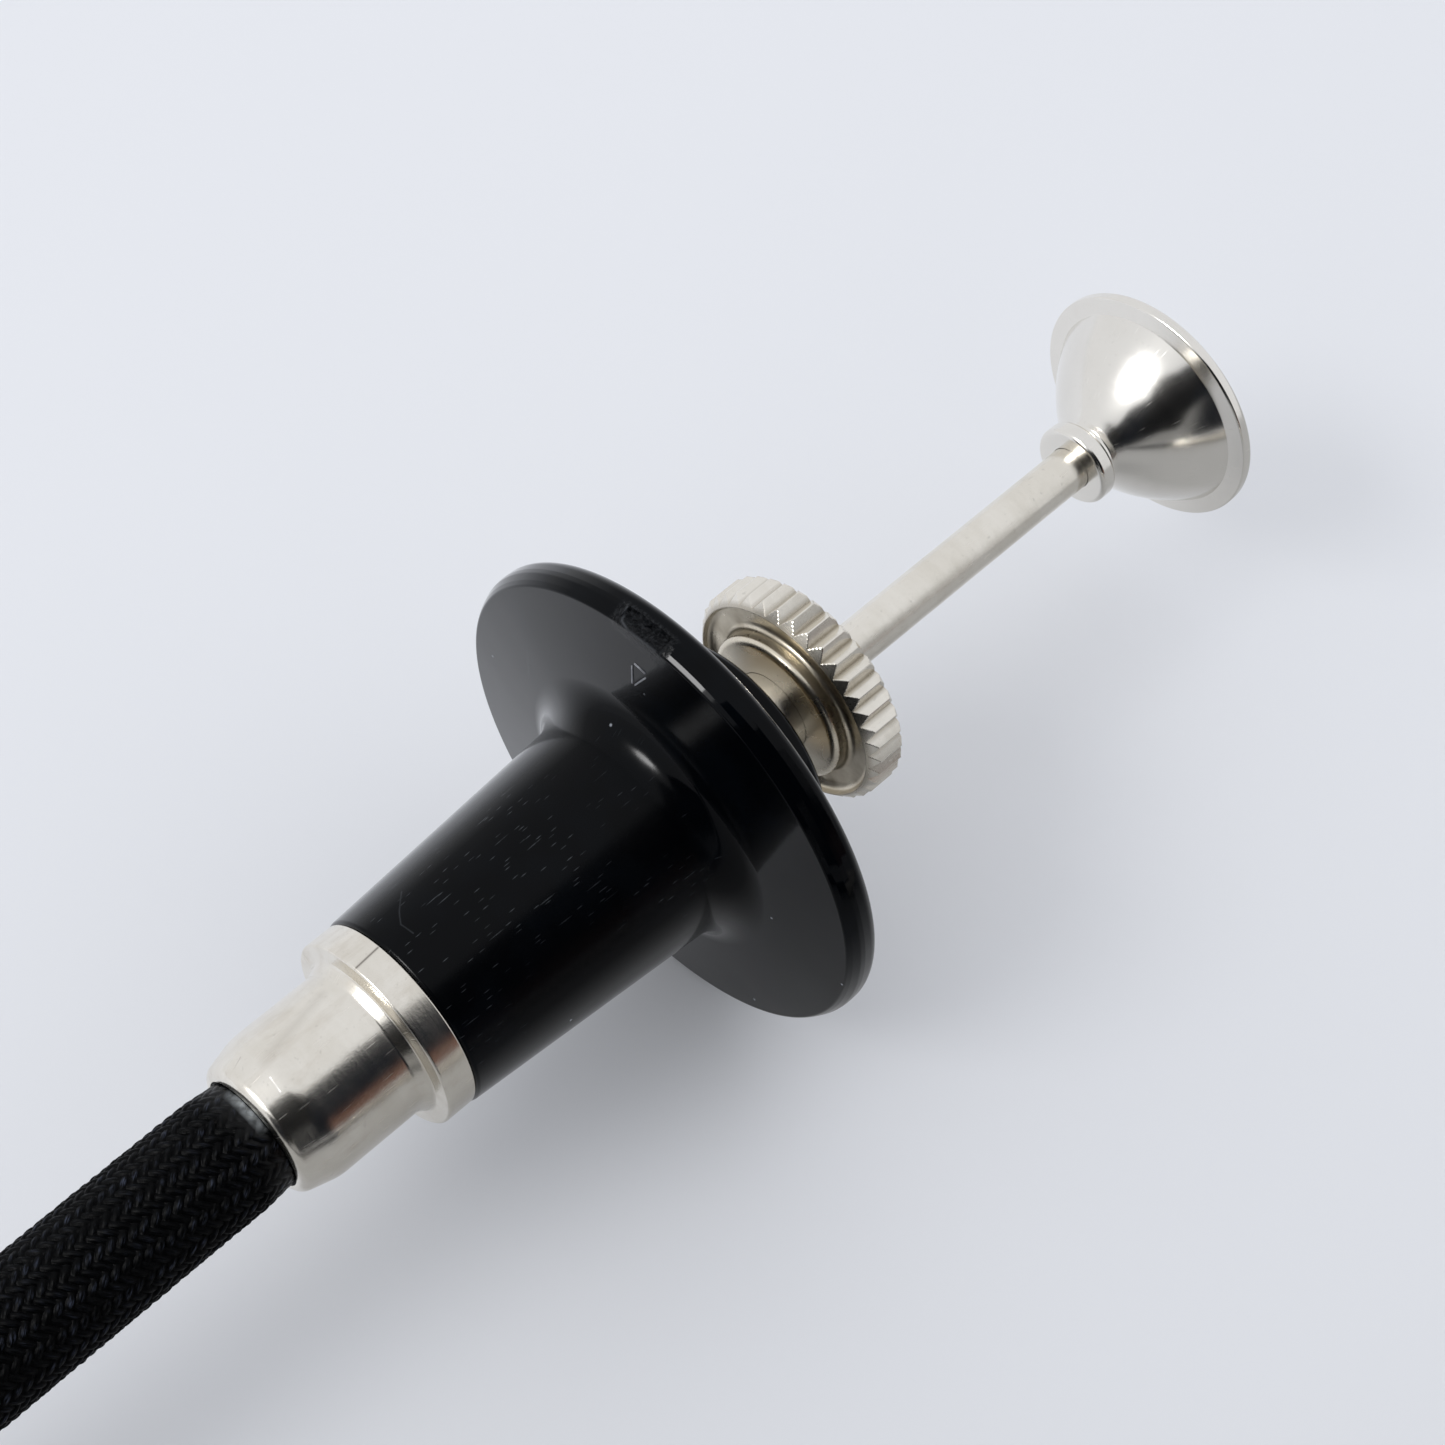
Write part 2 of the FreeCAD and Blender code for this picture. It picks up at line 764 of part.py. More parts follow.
def make_tip_ferrule():
    shoulder = s.tip_shoulder_length
    drop = s.tip_radius - s.tip_mouth_radius
    bow = (shoulder * shoulder + drop * drop) / (drop * 2)
    turned("tip_ferrule", [
        (0, crimp_radius),
        (0, s.tip_mouth_radius),
        (s.tip_shoulder_length, s.tip_radius),
        (s.tip_length, s.tip_radius),
        (s.tip_length, s.tip_bore_radius),
        (tip_seat, s.tip_bore_radius),
        (tip_seat, wire_hole),
        (tip_crimp, wire_hole),
        (tip_crimp, crimp_radius),
    ], {1: (bow, False)}, "tip")
    turned("tip_sheath_root", [
        (0, wire_hole),
        (0, s.sheath_radius),
        (tip_crimp, s.sheath_radius),
        (tip_crimp, wire_hole),
    ], where="tip")


def make_release_pin():
    body = turned("release_pin", [
        (pin_back, wire_fit),
        (pin_back, pin_flange_radius),
        (pin_shoulder, pin_flange_radius),
        (pin_shoulder, s.pin_radius),
        (pin_front, s.pin_radius),
        (pin_front, 0),
        (wire_tail, 0),
        (wire_tail, wire_fit),
    ], where="tip")
    soften(body, "Chamfer", "pin_end_edge", [(pin_front, s.pin_radius)], s.pin_end_edge)
    rod("pin_wire", s.wire_radius, -s.wire_tail_length, wire_tail, "tip")


def make_tip_stem():
    turned("tip_stem", [
        (plug_back, pin_hole),
        (plug_back, plug_radius),
        (s.tip_length, plug_radius),
        (s.tip_length, s.journal_radius),
        (flange_back, s.journal_radius),
        (flange_back, s.stem_flange_radius),
        (flange_front, s.stem_flange_radius),
        (flange_front, pin_hole),
    ], where="tip")


def make_tip_collar():
    body = turned("tip_collar", [
        (collar_back, retainer_radius + s.seat_gap),
        (collar_back, s.collar_radius),
        (collar_front, s.collar_radius),
        (collar_front, s.collar_face_radius),
        (taper_back, s.taper_root_radius),
        (taper_front, s.taper_tip_radius),
        (taper_front, s.pilot_radius),
        (nose, s.pilot_radius),
        (nose, pin_hole),
        (cavity_front, pin_hole),
        (cavity_front, cavity_radius),
        (retainer_front, cavity_radius),
        (retainer_front, retainer_radius + s.seat_gap),
    ], where="tip")
    rims = [(collar_back, s.collar_radius), (collar_front, s.collar_radius)]
    soften(body, "Chamfer", "collar_edges", rims, s.collar_edge)
    width = s.collar_knurl_width
    knurl(body, s.collar_radius, s.collar_knurl_depth, width, nose, s.collar_knurl_count)
    turned("collar_retainer", [
        (collar_back, retainer_hole),
        (collar_back, retainer_radius),
        (retainer_front, retainer_radius),
        (retainer_front, retainer_hole),
    ], where="tip")


def cable_edges(points):
    """Straight runs joined by tangent arcs, each arc as large as its two runs allow."""
    edges = []
    here = points[0]
    for before, corner, after in zip(points, points[1:], points[2:]):
        way = (corner - before).normalize()
        next_way = (after - corner).normalize()
        half_turn = way.getAngle(next_way) / 2
        cut = BEND_SHARE * min((corner - before).Length, (after - corner).Length)
        start = corner - way * cut
        stop = corner + next_way * cut
        edges.append([Part.LineSegment(here, start).toShape()])
        edges.append([arc(start, way, stop)])
        print("cable bend radius", round(cut / math.tan(half_turn), 1))
        here = stop
    edges.append([Part.LineSegment(here, points[-1]).toShape()])
    return edges


def split_edges(edges, run):
    """Halve a straight run, the run-th of the route counted from 0."""
    line = edges[2 * run][0]
    first = line.Vertexes[0].Point
    last = line.Vertexes[1].Point
    middle = (first + last) * 0.5
    edges[2 * run] = [
        Part.LineSegment(first, middle).toShape(),
        Part.LineSegment(middle, last).toShape(),
    ]


def tube(edges):
    line = Part.Wire(edges)
    start = edges[0].Vertexes[0].Point
    way = (edges[0].Vertexes[1].Point - start).normalize()
    ring = Part.Wire([Part.makeCircle(s.sheath_radius.value, start, way)])
    shape = line.makePipeShell([ring], True, False)
    ideal = math.pi * s.sheath_radius.value ** 2 * line.Length
    print("cable stretch", round(line.Length, 2), "volume share", round(shape.Volume / ideal, 4))
    return shape, line.Length


def make_cable():
    """The free cable in three stretches; its wire is bored only where the ends move in it."""
    points = [Vector(*point) for point in CABLE]
    edges = cable_edges(points)
    for run in CABLE_SPLITS:
        split_edges(edges, run)
    stretches = [[]]
    for pieces in edges:
        stretches[-1].append(pieces[0])
        for piece in pieces[1:]:
            stretches.append([piece])
    shapes = [tube(stretch) for stretch in stretches]
    print("cable length", round(sum(length for shape, length in shapes), 2))
    hole = wire_hole.value
    front = points[1] - points[0]
    near_depth = (s.plunger_travel - s.wire_setback + s.bore_room).value
    near = Part.makeCylinder(hole, near_depth, points[0], front)
    back = points[-2] - points[-1]
    far_depth = (s.wire_tail_length + s.bore_room).value
    far = Part.makeCylinder(hole, far_depth, points[-1], back)
    solids = [shape for shape, length in shapes]
    solids[0] = solids[0].cut(near)
    solids[-1] = solids[-1].cut(far)
    for label, solid in zip(("cable_run", "cable_bend", "cable_tail"), solids):
        piece = keep(doc.addObject("Part::Feature", label), label)
        piece.Shape = solid
        piece.Placement = Placement()


make_grip_body()
make_cable_ferrule()
make_sheath_root()
make_stop_washer()
make_lock_bushing()
make_ball_cage()
make_lock_balls()
make_lock_sleeve()
make_lock_wheel()
make_plunger()
make_plunger_head()
make_springs()
make_tip_ferrule()
make_release_pin()
make_tip_stem()
make_tip_collar()
make_cable()
doc.recompute()

for obj in doc.Objects:
    if "Invalid" in obj.State or "Error" in obj.State:
        raise RuntimeError(obj.Name + " failed: " + " ".join(obj.State))
for obj in NODES:
    shape = obj.Shape
    if shape.isNull() or not shape.isValid() or shape.Volume <= 0:
        raise RuntimeError(obj.Label + " has no sound solid")
for obj in NODES:
    obj.Shape.exportStep("parts/" + obj.Label + ".step")
    print(obj.Label, "solids", len(obj.Shape.Solids), "volume", round(obj.Shape.Volume, 3))
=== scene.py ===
import math

import bpy
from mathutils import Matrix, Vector, noise


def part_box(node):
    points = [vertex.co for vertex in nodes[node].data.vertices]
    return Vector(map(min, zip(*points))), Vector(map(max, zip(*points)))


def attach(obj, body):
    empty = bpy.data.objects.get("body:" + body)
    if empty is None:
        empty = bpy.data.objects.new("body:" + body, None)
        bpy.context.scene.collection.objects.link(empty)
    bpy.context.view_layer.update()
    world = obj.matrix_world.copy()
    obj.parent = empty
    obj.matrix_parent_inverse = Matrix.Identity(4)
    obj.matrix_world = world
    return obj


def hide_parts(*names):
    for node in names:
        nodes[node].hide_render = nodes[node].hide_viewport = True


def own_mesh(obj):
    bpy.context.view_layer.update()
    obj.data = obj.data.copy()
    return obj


# Looks of a cable shutter release. Stations and radii are in millimetres: handle pieces are measured
# from the middle of the flange, camera fitting pieces from the back of the fitting.

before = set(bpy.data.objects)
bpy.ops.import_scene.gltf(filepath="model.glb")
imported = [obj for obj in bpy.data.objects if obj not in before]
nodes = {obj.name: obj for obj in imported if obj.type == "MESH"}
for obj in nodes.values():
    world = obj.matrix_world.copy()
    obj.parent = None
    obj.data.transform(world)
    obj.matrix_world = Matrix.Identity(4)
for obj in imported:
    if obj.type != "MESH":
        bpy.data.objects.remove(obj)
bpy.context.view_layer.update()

MM = 0.001

# Where the camera stood and the point it looked at
CAMERA_PLACE = (-52.3, -51.4, 114.2)
CAMERA_TARGET = (-0.05, 1.03, 11.0)
CAMERA_LENS = 77.1

# Light: an oval window, its glare, the room, and a card and a curved dark screen that the metal mirrors
WINDOW_WAY = (-0.631, 0.181, 0.755)
WINDOW_DISTANCE = 500
WINDOW_SIZE = (260, 140)
WINDOW_POWER = 0.42
GLARE_DISTANCE = 505
GLARE_SIZE = (170, 100)
GLARE_POWER = 1.7
ROOM_LIGHT = 1.0
ROOM_TONE = (0.87, 0.885, 0.92)
CARD_PLACE = (-81.6, -87.8, 84.6)
CARD_TARGET = (-40.5, -46.5, 3.3)
CARD_SIZE = (76, 150)
CARD_CORNER = 9
CORNER_STEPS = 8
SCREEN_RADIUS = 220
SCREEN_FOOT = 0.5
SCREEN_STEP = 3
SCREEN_EDGE = [(186, 160), (208, 225), (219, 400), (304, 410)]
FLOOR_SIZE = (4000, 4000)

# Route of the cable, from the ferrule to the back of the camera fitting
ROUTE = [
    (-25.9, 0.0, 11.0), (-51.9, 0.0, 11.0), (-78.6, 1.8, 5.2), (-104.6, 4.9, 2.45),
    (-121.7, -5.8, 2.45), (-128.4, -23.1, 2.45), (-123.3, -41.4, 2.45), (-108.2, -53.0, 2.45),
    (-86.0, -53.4, 2.45), (-60.9, -50.9, 3.0), (-36.2, -51.0, 4.05), (-11.6, -51.0, 4.05),
]
ROUTE_STEPS = 48
CABLE_LENGTH = 250.0
CABLE_RADIUS = 2.45

# Braid: yarns that cross in two directions, over two and under two, a little twisted round the cable
YARNS_EACH_WAY = 32
YARN_COLUMNS = 7
YARN_PITCH = 0.46
YARN_TWIST = 0.14
YARN_DEPTH = 0.1
YARN_MIDDLE = 0.9
YARN_LIFT = 0.5
YARN_UNEVENNESS = 0.25
FINE_LENGTH = 18.0
FINE_STEP = 0.06
PLAIN_STEP = 0.6
STEP_FADE = 4
RELIEF_FADE = 2
LACQUER_LENGTH = 1.3
LACQUER_SHRINK = 0.09
LACQUER_FILL = 0.85

# Grip. A facet corner has a station, a radius and the radius that rounds it.
FLANGE_RADIUS = 11.0
FLANGE_HALF = 0.75
FLANGE_SWELL = 0.65
UNDERSIDE = -(FLANGE_HALF + FLANGE_SWELL)
RIM_ROUND = 0.55
RIM_FACET = [(-0.82, 10.68, 0.16), (-0.62, 10.82, 0.2), (-0.32, 10.965, 0.3)]
UNDERSIDE_ROUND = 1.7
TOPSIDE_ROUND = 1.0
BODY_LENGTH = 14.43
BODY_ROOT_RADIUS = 5.22
BODY_END_RADIUS = 4.35
BODY_END_ROUND = 0.2
BOSS_LENGTH = 4.0
BOSS_ROOT_RADIUS = 5.4
BOSS_TOP_RADIUS = 5.0
BOSS_EDGE = 0.4
POCKET_RADIUS = 3.3
POCKET_EDGE = 0.08
POCKET_FLOOR = BOSS_LENGTH - 4.9
MAIN_BORE_RADIUS = 2.35
SOCKET_RADIUS = 3.22
SOCKET_FLOOR = 4.93 - BODY_LENGTH
GATE_WIDTH = 2.3
GATE_DEPTH = 0.3
GATE_OFFSET = 0.67
GATE_TOP = 0.1
GATE_FOOT = 1.6
GATE_ROUGHNESS = 0.07
GATE_BEARINGS = (79, 95)
GATE_COLUMNS = 128
GRIP_COLUMNS = 168
MARK_CORNERS = [(0.84, 9.15), (-0.06, 9.06), (0.7, 7.78)]
MARK_SPAN = (0.16, 0.82)
MARK_WIDTH = 0.09
MARK_HEIGHT = 0.07
MARK_ROOT = 0.03

# Ferrule
RING_RADIUS = 4.3
RING_START = -BODY_LENGTH - 1.37
STEP_SLOPE = 0.53
STEP_RISE = 0.08
STEP_FOOT = 0.25
BARREL_RADIUS = 3.3
BARREL_START = RING_START - 4.1
FERRULE_START = BARREL_START - 1.9
SHOULDER_BOW = 2.72
SHOULDER_RADIUS = 3.207
MOUTH_LEAD = 1.196
MOUTH_RADIUS = 2.887
MOUTH_EDGE = 0.5
CRIMP_RADIUS = 2.47
CRIMP_DEPTH = 2.4
FERRULE_WEB = 0.8
SPIGOT_RADIUS = 3.2
SPIGOT_GAP = 0.1
WIRE_HOLE = 0.6

# Lock wheel, sleeve and bushing
HUB_START = BOSS_LENGTH + 2.0
HUB_RADIUS = 3.5
WHEEL_TOP = HUB_START + 2.4
WHEEL_WEB_START = WHEEL_TOP - 0.9
WHEEL_RADIUS = 5.15
WHEEL_TOP_EDGE = 0.2
SKIRT_EDGE = 0.42
SKIRT_START = HUB_START + 0.55
SKIRT_LIP = 0.04
DISH_FLOOR = HUB_START + 0.92
DISH_RADIUS = 4.6
KNURL_COUNT = 38
KNURL_DEPTH = 0.36
KNURL_WIDTH = 0.80
KNURL_STEPS = 8
SLEEVE_RADIUS = 1.85
SLEEVE_FOOT_RADIUS = 2.05
SLEEVE_FOOT = 0.25
CONE_END = 3.05
FOOT_TOP = CONE_END - 0.03
FOOT_LIFT = 0.005  # keeps the foot clear of the ball cage
BUSHING_RADIUS = 3.28
BUSHING_TOP = BOSS_LENGTH + 0.3
GUIDE_RADIUS = SLEEVE_RADIUS + 0.05
CONE_BIG = 2.58
CONE_SMALL = 2.1
CONE_START = 0.0
WASHER_TOP = -0.4
FIT = 0.02

# Plunger
ROD_RADIUS = 1.0
ROD_HOLE = 1.08
ROD_FOOT = -2.4
HEAD_START = WHEEL_TOP + 16.05
ROD_TOP = HEAD_START + 3.85
COLLAR_RADIUS = 1.9
COLLAR_LENGTH = 0.8
NECK_RADIUS = 1.45
NECK_START = HEAD_START + COLLAR_LENGTH + 0.15
NECK_LENGTH = 0.25
BELL_START = HEAD_START + 1.35
BELL_START_RADIUS = 1.6
BELL_END = HEAD_START + 4.85
BELL_END_RADIUS = 4.8
BELL_BOW = 9.9
HEAD_END = HEAD_START + 5.55
HEAD_RADIUS = 5.6
HEAD_RIM_LIFT = 0.12
HEAD_RIM_ROUND = 0.26
HEAD_DISH_RADIUS = 5.0
HEAD_DISH_DEPTH = 0.5
FACE_HOLE = 0.01  # a closed end keeps a tiny hole on the axis

# Camera fitting
TIP_RADIUS = 3.1
TIP_LENGTH = 21.4
TIP_SHOULDER = 1.8
TIP_MOUTH_RADIUS = 2.65
TIP_BORE_RADIUS = 1.95
TIP_SEAT = CRIMP_DEPTH + 0.6
SCREW_START = TIP_LENGTH + 0.2
SCREW_RADIUS = 4.0
SCREW_END = SCREW_START + 4.4
SCREW_EDGE = 0.3
SCREW_FACE_RADIUS = 2.6
SCREW_KNURLS = 20
SCREW_KNURL_DEPTH = 0.3
SCREW_KNURL_WIDTH = 0.9
TAPER_START = SCREW_END + 1.0
TAPER_END = TAPER_START + 4.3
TAPER_ROOT = 1.8
TAPER_TIP = 1.4
TAPER_RINGS = 86
THREAD_PITCH = 0.5
THREAD_DEPTH = 0.16
NOSE_RADIUS = 1.35
NOSE_END = TAPER_END + 0.7
PIN_RADIUS = 0.75
PIN_HOLE = 0.8
PIN_END = NOSE_END - 0.3
PIN_FLANGE_RADIUS = 1.88
PIN_START = TIP_SEAT + 0.1
PIN_FLANGE = PIN_START + 1.0
PIN_SOCKET = PIN_START + 1.2
PIN_SOCKET_RADIUS = 0.52
RETAINER_RADIUS = 2.62
RETAINER_END = SCREW_START + 0.8
CAVITY_RADIUS = 2.2
CAVITY_END = SCREW_START + 2.0

# Springs: joint, and along x the fixed end, the end that is pressed and its travel
SPRINGS = {
    "return_spring": ("plunger_press", -22.7, -6.2, 12),
    "lock_spring": ("lock_press", -4.5, -2.93, 1),
    "pin_spring": ("pin_slide", 8.0, -7.5, 12),
}

# Finishes
PLASTIC_SHINE = 0.09
YARN_SHINE = 0.05
NICKEL = (0.80, 0.765, 0.695)
NICKEL_DULL = (0.66, 0.615, 0.53)
FLOOR_TONE = (0.742, 0.754, 0.783)
FLOOR_WARM_TONE = tuple(part * 1.02 for part in FLOOR_TONE)
# painted shade of the table that only the polished pieces mirror
FLOOR_MIRRORED_SHADE = (0.50, 0.50, 0.50)
FLOOR_GLOW = 0.065
MATT = {"Roughness": 1.0, "Specular IOR Level": 0.0}

# Scratched lines, and the lines of a painted dark reflection and a painted glint: station, radius and bearing of their
# places on the handle
HAIRLINE = [(-12.2, 4.5, 64), (-12.95, 4.45, 74), (-13.3, 4.42, 80.5), (-13.25, 4.43, 89)]
GATE_RIM = [(-0.2, 10.98, 80.2), (-0.7, 10.77, 81.2), (-0.84, 10.68, 83.5), (-0.84, 10.68, 91.5)]
FLANGE_SCRATCH = [(-1.08, 8.1, 31), (-1.17, 7.25, 19)]
RING_SCRIBE = [(-14.55, 4.3, 81.6), (-15.75, 4.3, 83.0)]
# painted dark reflection: a darker stripe along the barrel
PAINTED_DARK_REFLECTION = [(-17.03, 3.3, 69), (-20.44, 3.3, 83)]
SHOULDER_TICK = [(-21.45, 2.93, 67.5), (-20.8, 3.14, 64)]
# painted glint: a near-white nick on the barrel
PAINTED_GLINT = [(-20.66, 3.17, 94), (-20.74, 3.15, 106)]

# Steps of the turned surfaces
ARC_STEP = math.radians(6)
CREASE = math.radians(25)
COLUMNS = 192

# Places taken from the frame
grip_low, grip_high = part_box("grip_body")
tip_low, tip_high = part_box("tip_ferrule")
HANDLE = Vector((grip_high.x - BOSS_LENGTH * MM, 0, (grip_low.z + grip_high.z) / 2))
FITTING = Vector((tip_low.x, (tip_low.y + tip_high.y) / 2, (tip_low.z + tip_high.z) / 2))


# Objects

def stand(name, data, place=(0, 0, 0), way=None, front="Z"):
    """An object at a place in millimetres, with its front axis along a way."""
    made = bpy.data.objects.new(name, data)
    bpy.context.scene.collection.objects.link(made)
    made.location = Vector(place) * MM
    if way is not None:
        made.rotation_euler = way.to_track_quat(front, "Y").to_euler()
    return made


def new_mesh(name, verts, faces, skin=None):
    """A mesh, which is smooth if it has surface coordinates."""
    mesh = bpy.data.meshes.new(name)
    mesh.from_pydata(verts, [], faces)
    if skin:
        mesh.polygons.foreach_set("use_smooth", [True] * len(faces))
        mesh.uv_layers.new(name="skin").data.foreach_set("uv", skin)
    return mesh


def settle(name, mesh, body, finish, node=""):
    """Make the object, give it its finish, and let it ride in place of its nodes."""
    piece = stand(name, mesh)
    mesh.materials.append(finish)
    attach(piece, body)
    for replaced in node.split():
        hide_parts(replaced)
    return piece


def steps_between(first, last, count):
    return [tuple(Vector(first).lerp(Vector(last), i / count)) for i in range(count)]


# Camera and stage

def stage(name, verts, faces, finish, place=(0, 0, 0), way=None):
    """A piece that stands round the object and isn't part of it."""
    made = stand(name, new_mesh(name, verts, faces), place, way)
    made.data.materials.append(finish)
    return made


def make_camera():
    data = bpy.data.cameras.new("camera")
    data.lens = CAMERA_LENS
    data.clip_start = 0.01
    data.clip_end = 10
    way = Vector(CAMERA_TARGET) - Vector(CAMERA_PLACE)
    bpy.context.scene.camera = stand("camera", data, CAMERA_PLACE, way, "-Z")


def make_panel(name, place, target, size, finish, corner=0.0):
    """A flat rectangle, with rounded corners if asked, whose front looks at the target."""
    rim = []
    for turn, (side, up) in enumerate(((1, 1), (-1, 1), (-1, -1), (1, -1))):
        for step in range(CORNER_STEPS + 1 if corner else 1):
            angle = math.pi / 2 * (turn + step / CORNER_STEPS)
            across = side * (size[0] / 2 - corner) + corner * math.cos(angle)
            along = up * (size[1] / 2 - corner) + corner * math.sin(angle)
            rim.append((across * MM, along * MM, 0))
    return stage(name, rim, [tuple(range(len(rim)))], finish, place, Vector(target) - Vector(place))


def make_screen(finish):
    """An upright sheet that curves round the object; its upper edge joins bearings in degrees and heights."""
    places = []
    for start, stop in zip(SCREEN_EDGE, SCREEN_EDGE[1:]):
        places += steps_between(start, stop, math.ceil((stop[0] - start[0]) / SCREEN_STEP))
    places.append(SCREEN_EDGE[-1])
    verts = []
    for bearing, height in places:
        angle = math.radians(bearing)
        for level in (SCREEN_FOOT, height):
            verts.append(Vector((SCREEN_RADIUS * math.cos(angle), SCREEN_RADIUS * math.sin(angle), level)) * MM)
    faces = [(2 * i, 2 * i + 2, 2 * i + 3, 2 * i + 1) for i in range(len(places) - 1)]
    return stage("dark_screen", verts, faces, finish)


def make_lamp(name, distance, size, power):
    data = bpy.data.lights.new(name, "AREA")
    data.shape = "ELLIPSE"
    data.size = size[0] * MM
    data.size_y = size[1] * MM
    data.energy = power
    way = Vector(WINDOW_WAY).normalized()
    return stand(name, data, way * distance, way)


# Node trees

class Net:
    """A node tree that is being wired. An input takes a plain value or another node's output."""

    def __init__(self, tree):
        self.tree = tree

    def fill(self, node, values):
        for key, value in values.items():
            socket = node.inputs[key]
            if isinstance(value, bpy.types.NodeSocket):
                self.tree.links.new(value, socket)
            else:
                socket.default_value = (*value, 1) if socket.type == "RGBA" else value

    def add(self, kind, values, **settings):
        """The outputs of a new node with these settings and inputs."""
        node = self.tree.nodes.new("ShaderNode" + kind)
        for key, value in settings.items():
            setattr(node, key, value)
        self.fill(node, values)
        return node.outputs

    def use(self, group, **values):
        return self.add("Group", values, node_tree=group)

    def math(self, operation, *values):
        return self.add("Math", dict(enumerate(values)), operation=operation)[0]

    def vector(self, operation, *values):
        return self.add("VectorMath", dict(enumerate(values)), operation=operation)

    def times(self, product, *factors):
        for factor in factors:
            product = self.math("MULTIPLY", product, factor)
        return product

    def most(self, highest, *others):
        for other in others:
            highest = self.math("MAXIMUM", highest, other)
        return highest

    def scaled(self, value, factor, start):
        """The value times the factor, added to the start."""
        return self.math("MULTIPLY_ADD", value, factor, start)

    def stretch(self, vector, scale):
        return self.vector("MULTIPLY", vector, scale)[0]

    def combine(self, x, y, z=0.0):
        return self.add("CombineXYZ", {"X": x, "Y": y, "Z": z})[0]

    def split(self, vector):
        return tuple(self.add("SeparateXYZ", {"Vector": vector}))

    def remap(self, value, low, high, to_low=0.0, to_high=1.0):
        values = {"Value": value, "From Min": low, "From Max": high, "To Min": to_low, "To Max": to_high}
        return self.add("MapRange", values)["Result"]

    def mix(self, factor, first, second):
        """A colour between two colours."""
        return self.add("Mix", {"Factor": factor, 6: first, 7: second}, data_type="RGBA")[2]

    def noise(self, vector, scale, detail=2.0, roughness=0.5, distortion=0.0):
        values = {"Vector": vector, "Scale": scale, "Detail": detail, "Roughness": roughness}
        return self.add("TexNoise", {**values, "Distortion": distortion})["Fac"]

    def dots(self, vector, scale, edge, share, channel, **settings):
        """The middles of a pattern's cells; a share of them shows, picked by a channel of their tints."""
        cells = self.add("TexVoronoi", {"Vector": vector, "Scale": scale}, **settings)
        tint = self.add("SeparateColor", {"Color": cells["Color"]})[channel]
        return self.times(self.remap(cells["Distance"], *edge), self.math("LESS_THAN", tint, share))

    def bump(self, height, depth, strength=1.0):
        return self.add("Bump", {"Height": height, "Distance": depth * MM, "Strength": strength})[0]


# Shared effects

def new_group(name, wire, **inputs):
    """A node group; its inputs are a vector and numbers with these defaults, and wire gives its outputs."""
    group = bpy.data.node_groups.new(name, "ShaderNodeTree")
    group.interface.new_socket("Vector", in_out="INPUT", socket_type="NodeSocketVector")
    for label, default in inputs.items():
        kind = "NodeSocketVector" if default is None else "NodeSocketFloat"
        socket = group.interface.new_socket(label, in_out="INPUT", socket_type=kind)
        if default is not None:
            socket.default_value = default
    net = Net(group)
    made = wire(net, group.nodes.new("NodeGroupInput").outputs)
    for label in made:
        group.interface.new_socket(label, in_out="OUTPUT", socket_type="NodeSocketFloat")
    net.fill(group.nodes.new("NodeGroupOutput"), made)
    return group


def turning_marks(net, given):
    """Fine rings that a lathe tool and a polishing cloth leave; the vector is millimetres round and along."""
    fine = net.stretch(given["Vector"], net.combine(0.12, given["Fineness"], 1.0))
    wide = net.stretch(given["Vector"], (0.35, 2.2, 1.0))
    return {"Height": net.noise(fine, 1.0, 4.0, 0.6), "Streak": net.noise(wide, 1.0, 3.0)}


def tarnish(net, given):
    """Cloudy patches where a plated surface has dulled, and specks."""
    clouds = net.noise(given["Vector"], given["Scale"], 5.0, 0.55, 0.4)
    spots = net.noise(given["Vector"], net.times(given["Scale"], 9.0))
    return {"Mask": net.times(net.remap(clouds, 0.4, 0.72), given["Amount"]),
            "Specks": net.times(net.remap(spots, 0.66, 0.74), given["Amount"])}


def fine_scratches(net, given):
    """Short fine scratches that lie along the second axis of the vector."""
    across = net.math("DIVIDE", 1.0, net.times(given["Width"], 6.0))
    cells = net.stretch(given["Vector"], net.combine(across, net.math("DIVIDE", 1.0, given["Length"]), 1.0))
    return {"Mask": net.dots(cells, 1.0, (0.16, 0.06), given["Share"], 0, voronoi_dimensions="2D")}


def plating_grain(net, given):
    """Fine pitting and waviness of a plated surface."""
    scale = net.math("DIVIDE", 1.0, given["Size"])
    waves = net.noise(given["Vector"], net.times(scale, 0.08))
    return {"Height": net.scaled(waves, 6.0, net.noise(given["Vector"], scale, 3.0, 0.6))}


def scribe_line(net, given):
    """A straight scratched line from one place to another."""
    run = net.vector("SUBTRACT", given["Stop"], given["Start"])[0]
    spot = net.vector("SUBTRACT", given["Vector"], given["Start"])[0]
    reach = net.vector("DOT_PRODUCT", spot, run)[1]
    share = net.remap(net.math("DIVIDE", reach, net.vector("DOT_PRODUCT", run, run)[1]), 0.0, 1.0)
    nearest = net.stretch(run, net.combine(share, share, share))
    off = net.vector("LENGTH", net.vector("SUBTRACT", spot, nearest)[0])[1]
    return {"Mask": net.remap(off, given["Width"], 0.0)}


def scattered_dust(net, given):
    """Scattered specks and lint."""
    return {"Mask": net.dots(given["Vector"], given["Scale"], (0.07, 0.03), given["Share"], 1)}


TURNING_MARKS = new_group("turning_marks", turning_marks, Fineness=20.0)
TARNISH = new_group("tarnish", tarnish, Scale=0.6, Amount=0.5)
SCRATCHES = new_group("fine_scratches", fine_scratches, Length=0.7, Width=0.04, Share=0.2)
GRAIN = new_group("plating_grain", plating_grain, Size=0.12)
SCRIBE = new_group("scribe_line", scribe_line, Start=None, Stop=None, Width=0.05)
DUST = new_group("dust", scattered_dust, Scale=1.0, Share=0.05)


# Materials

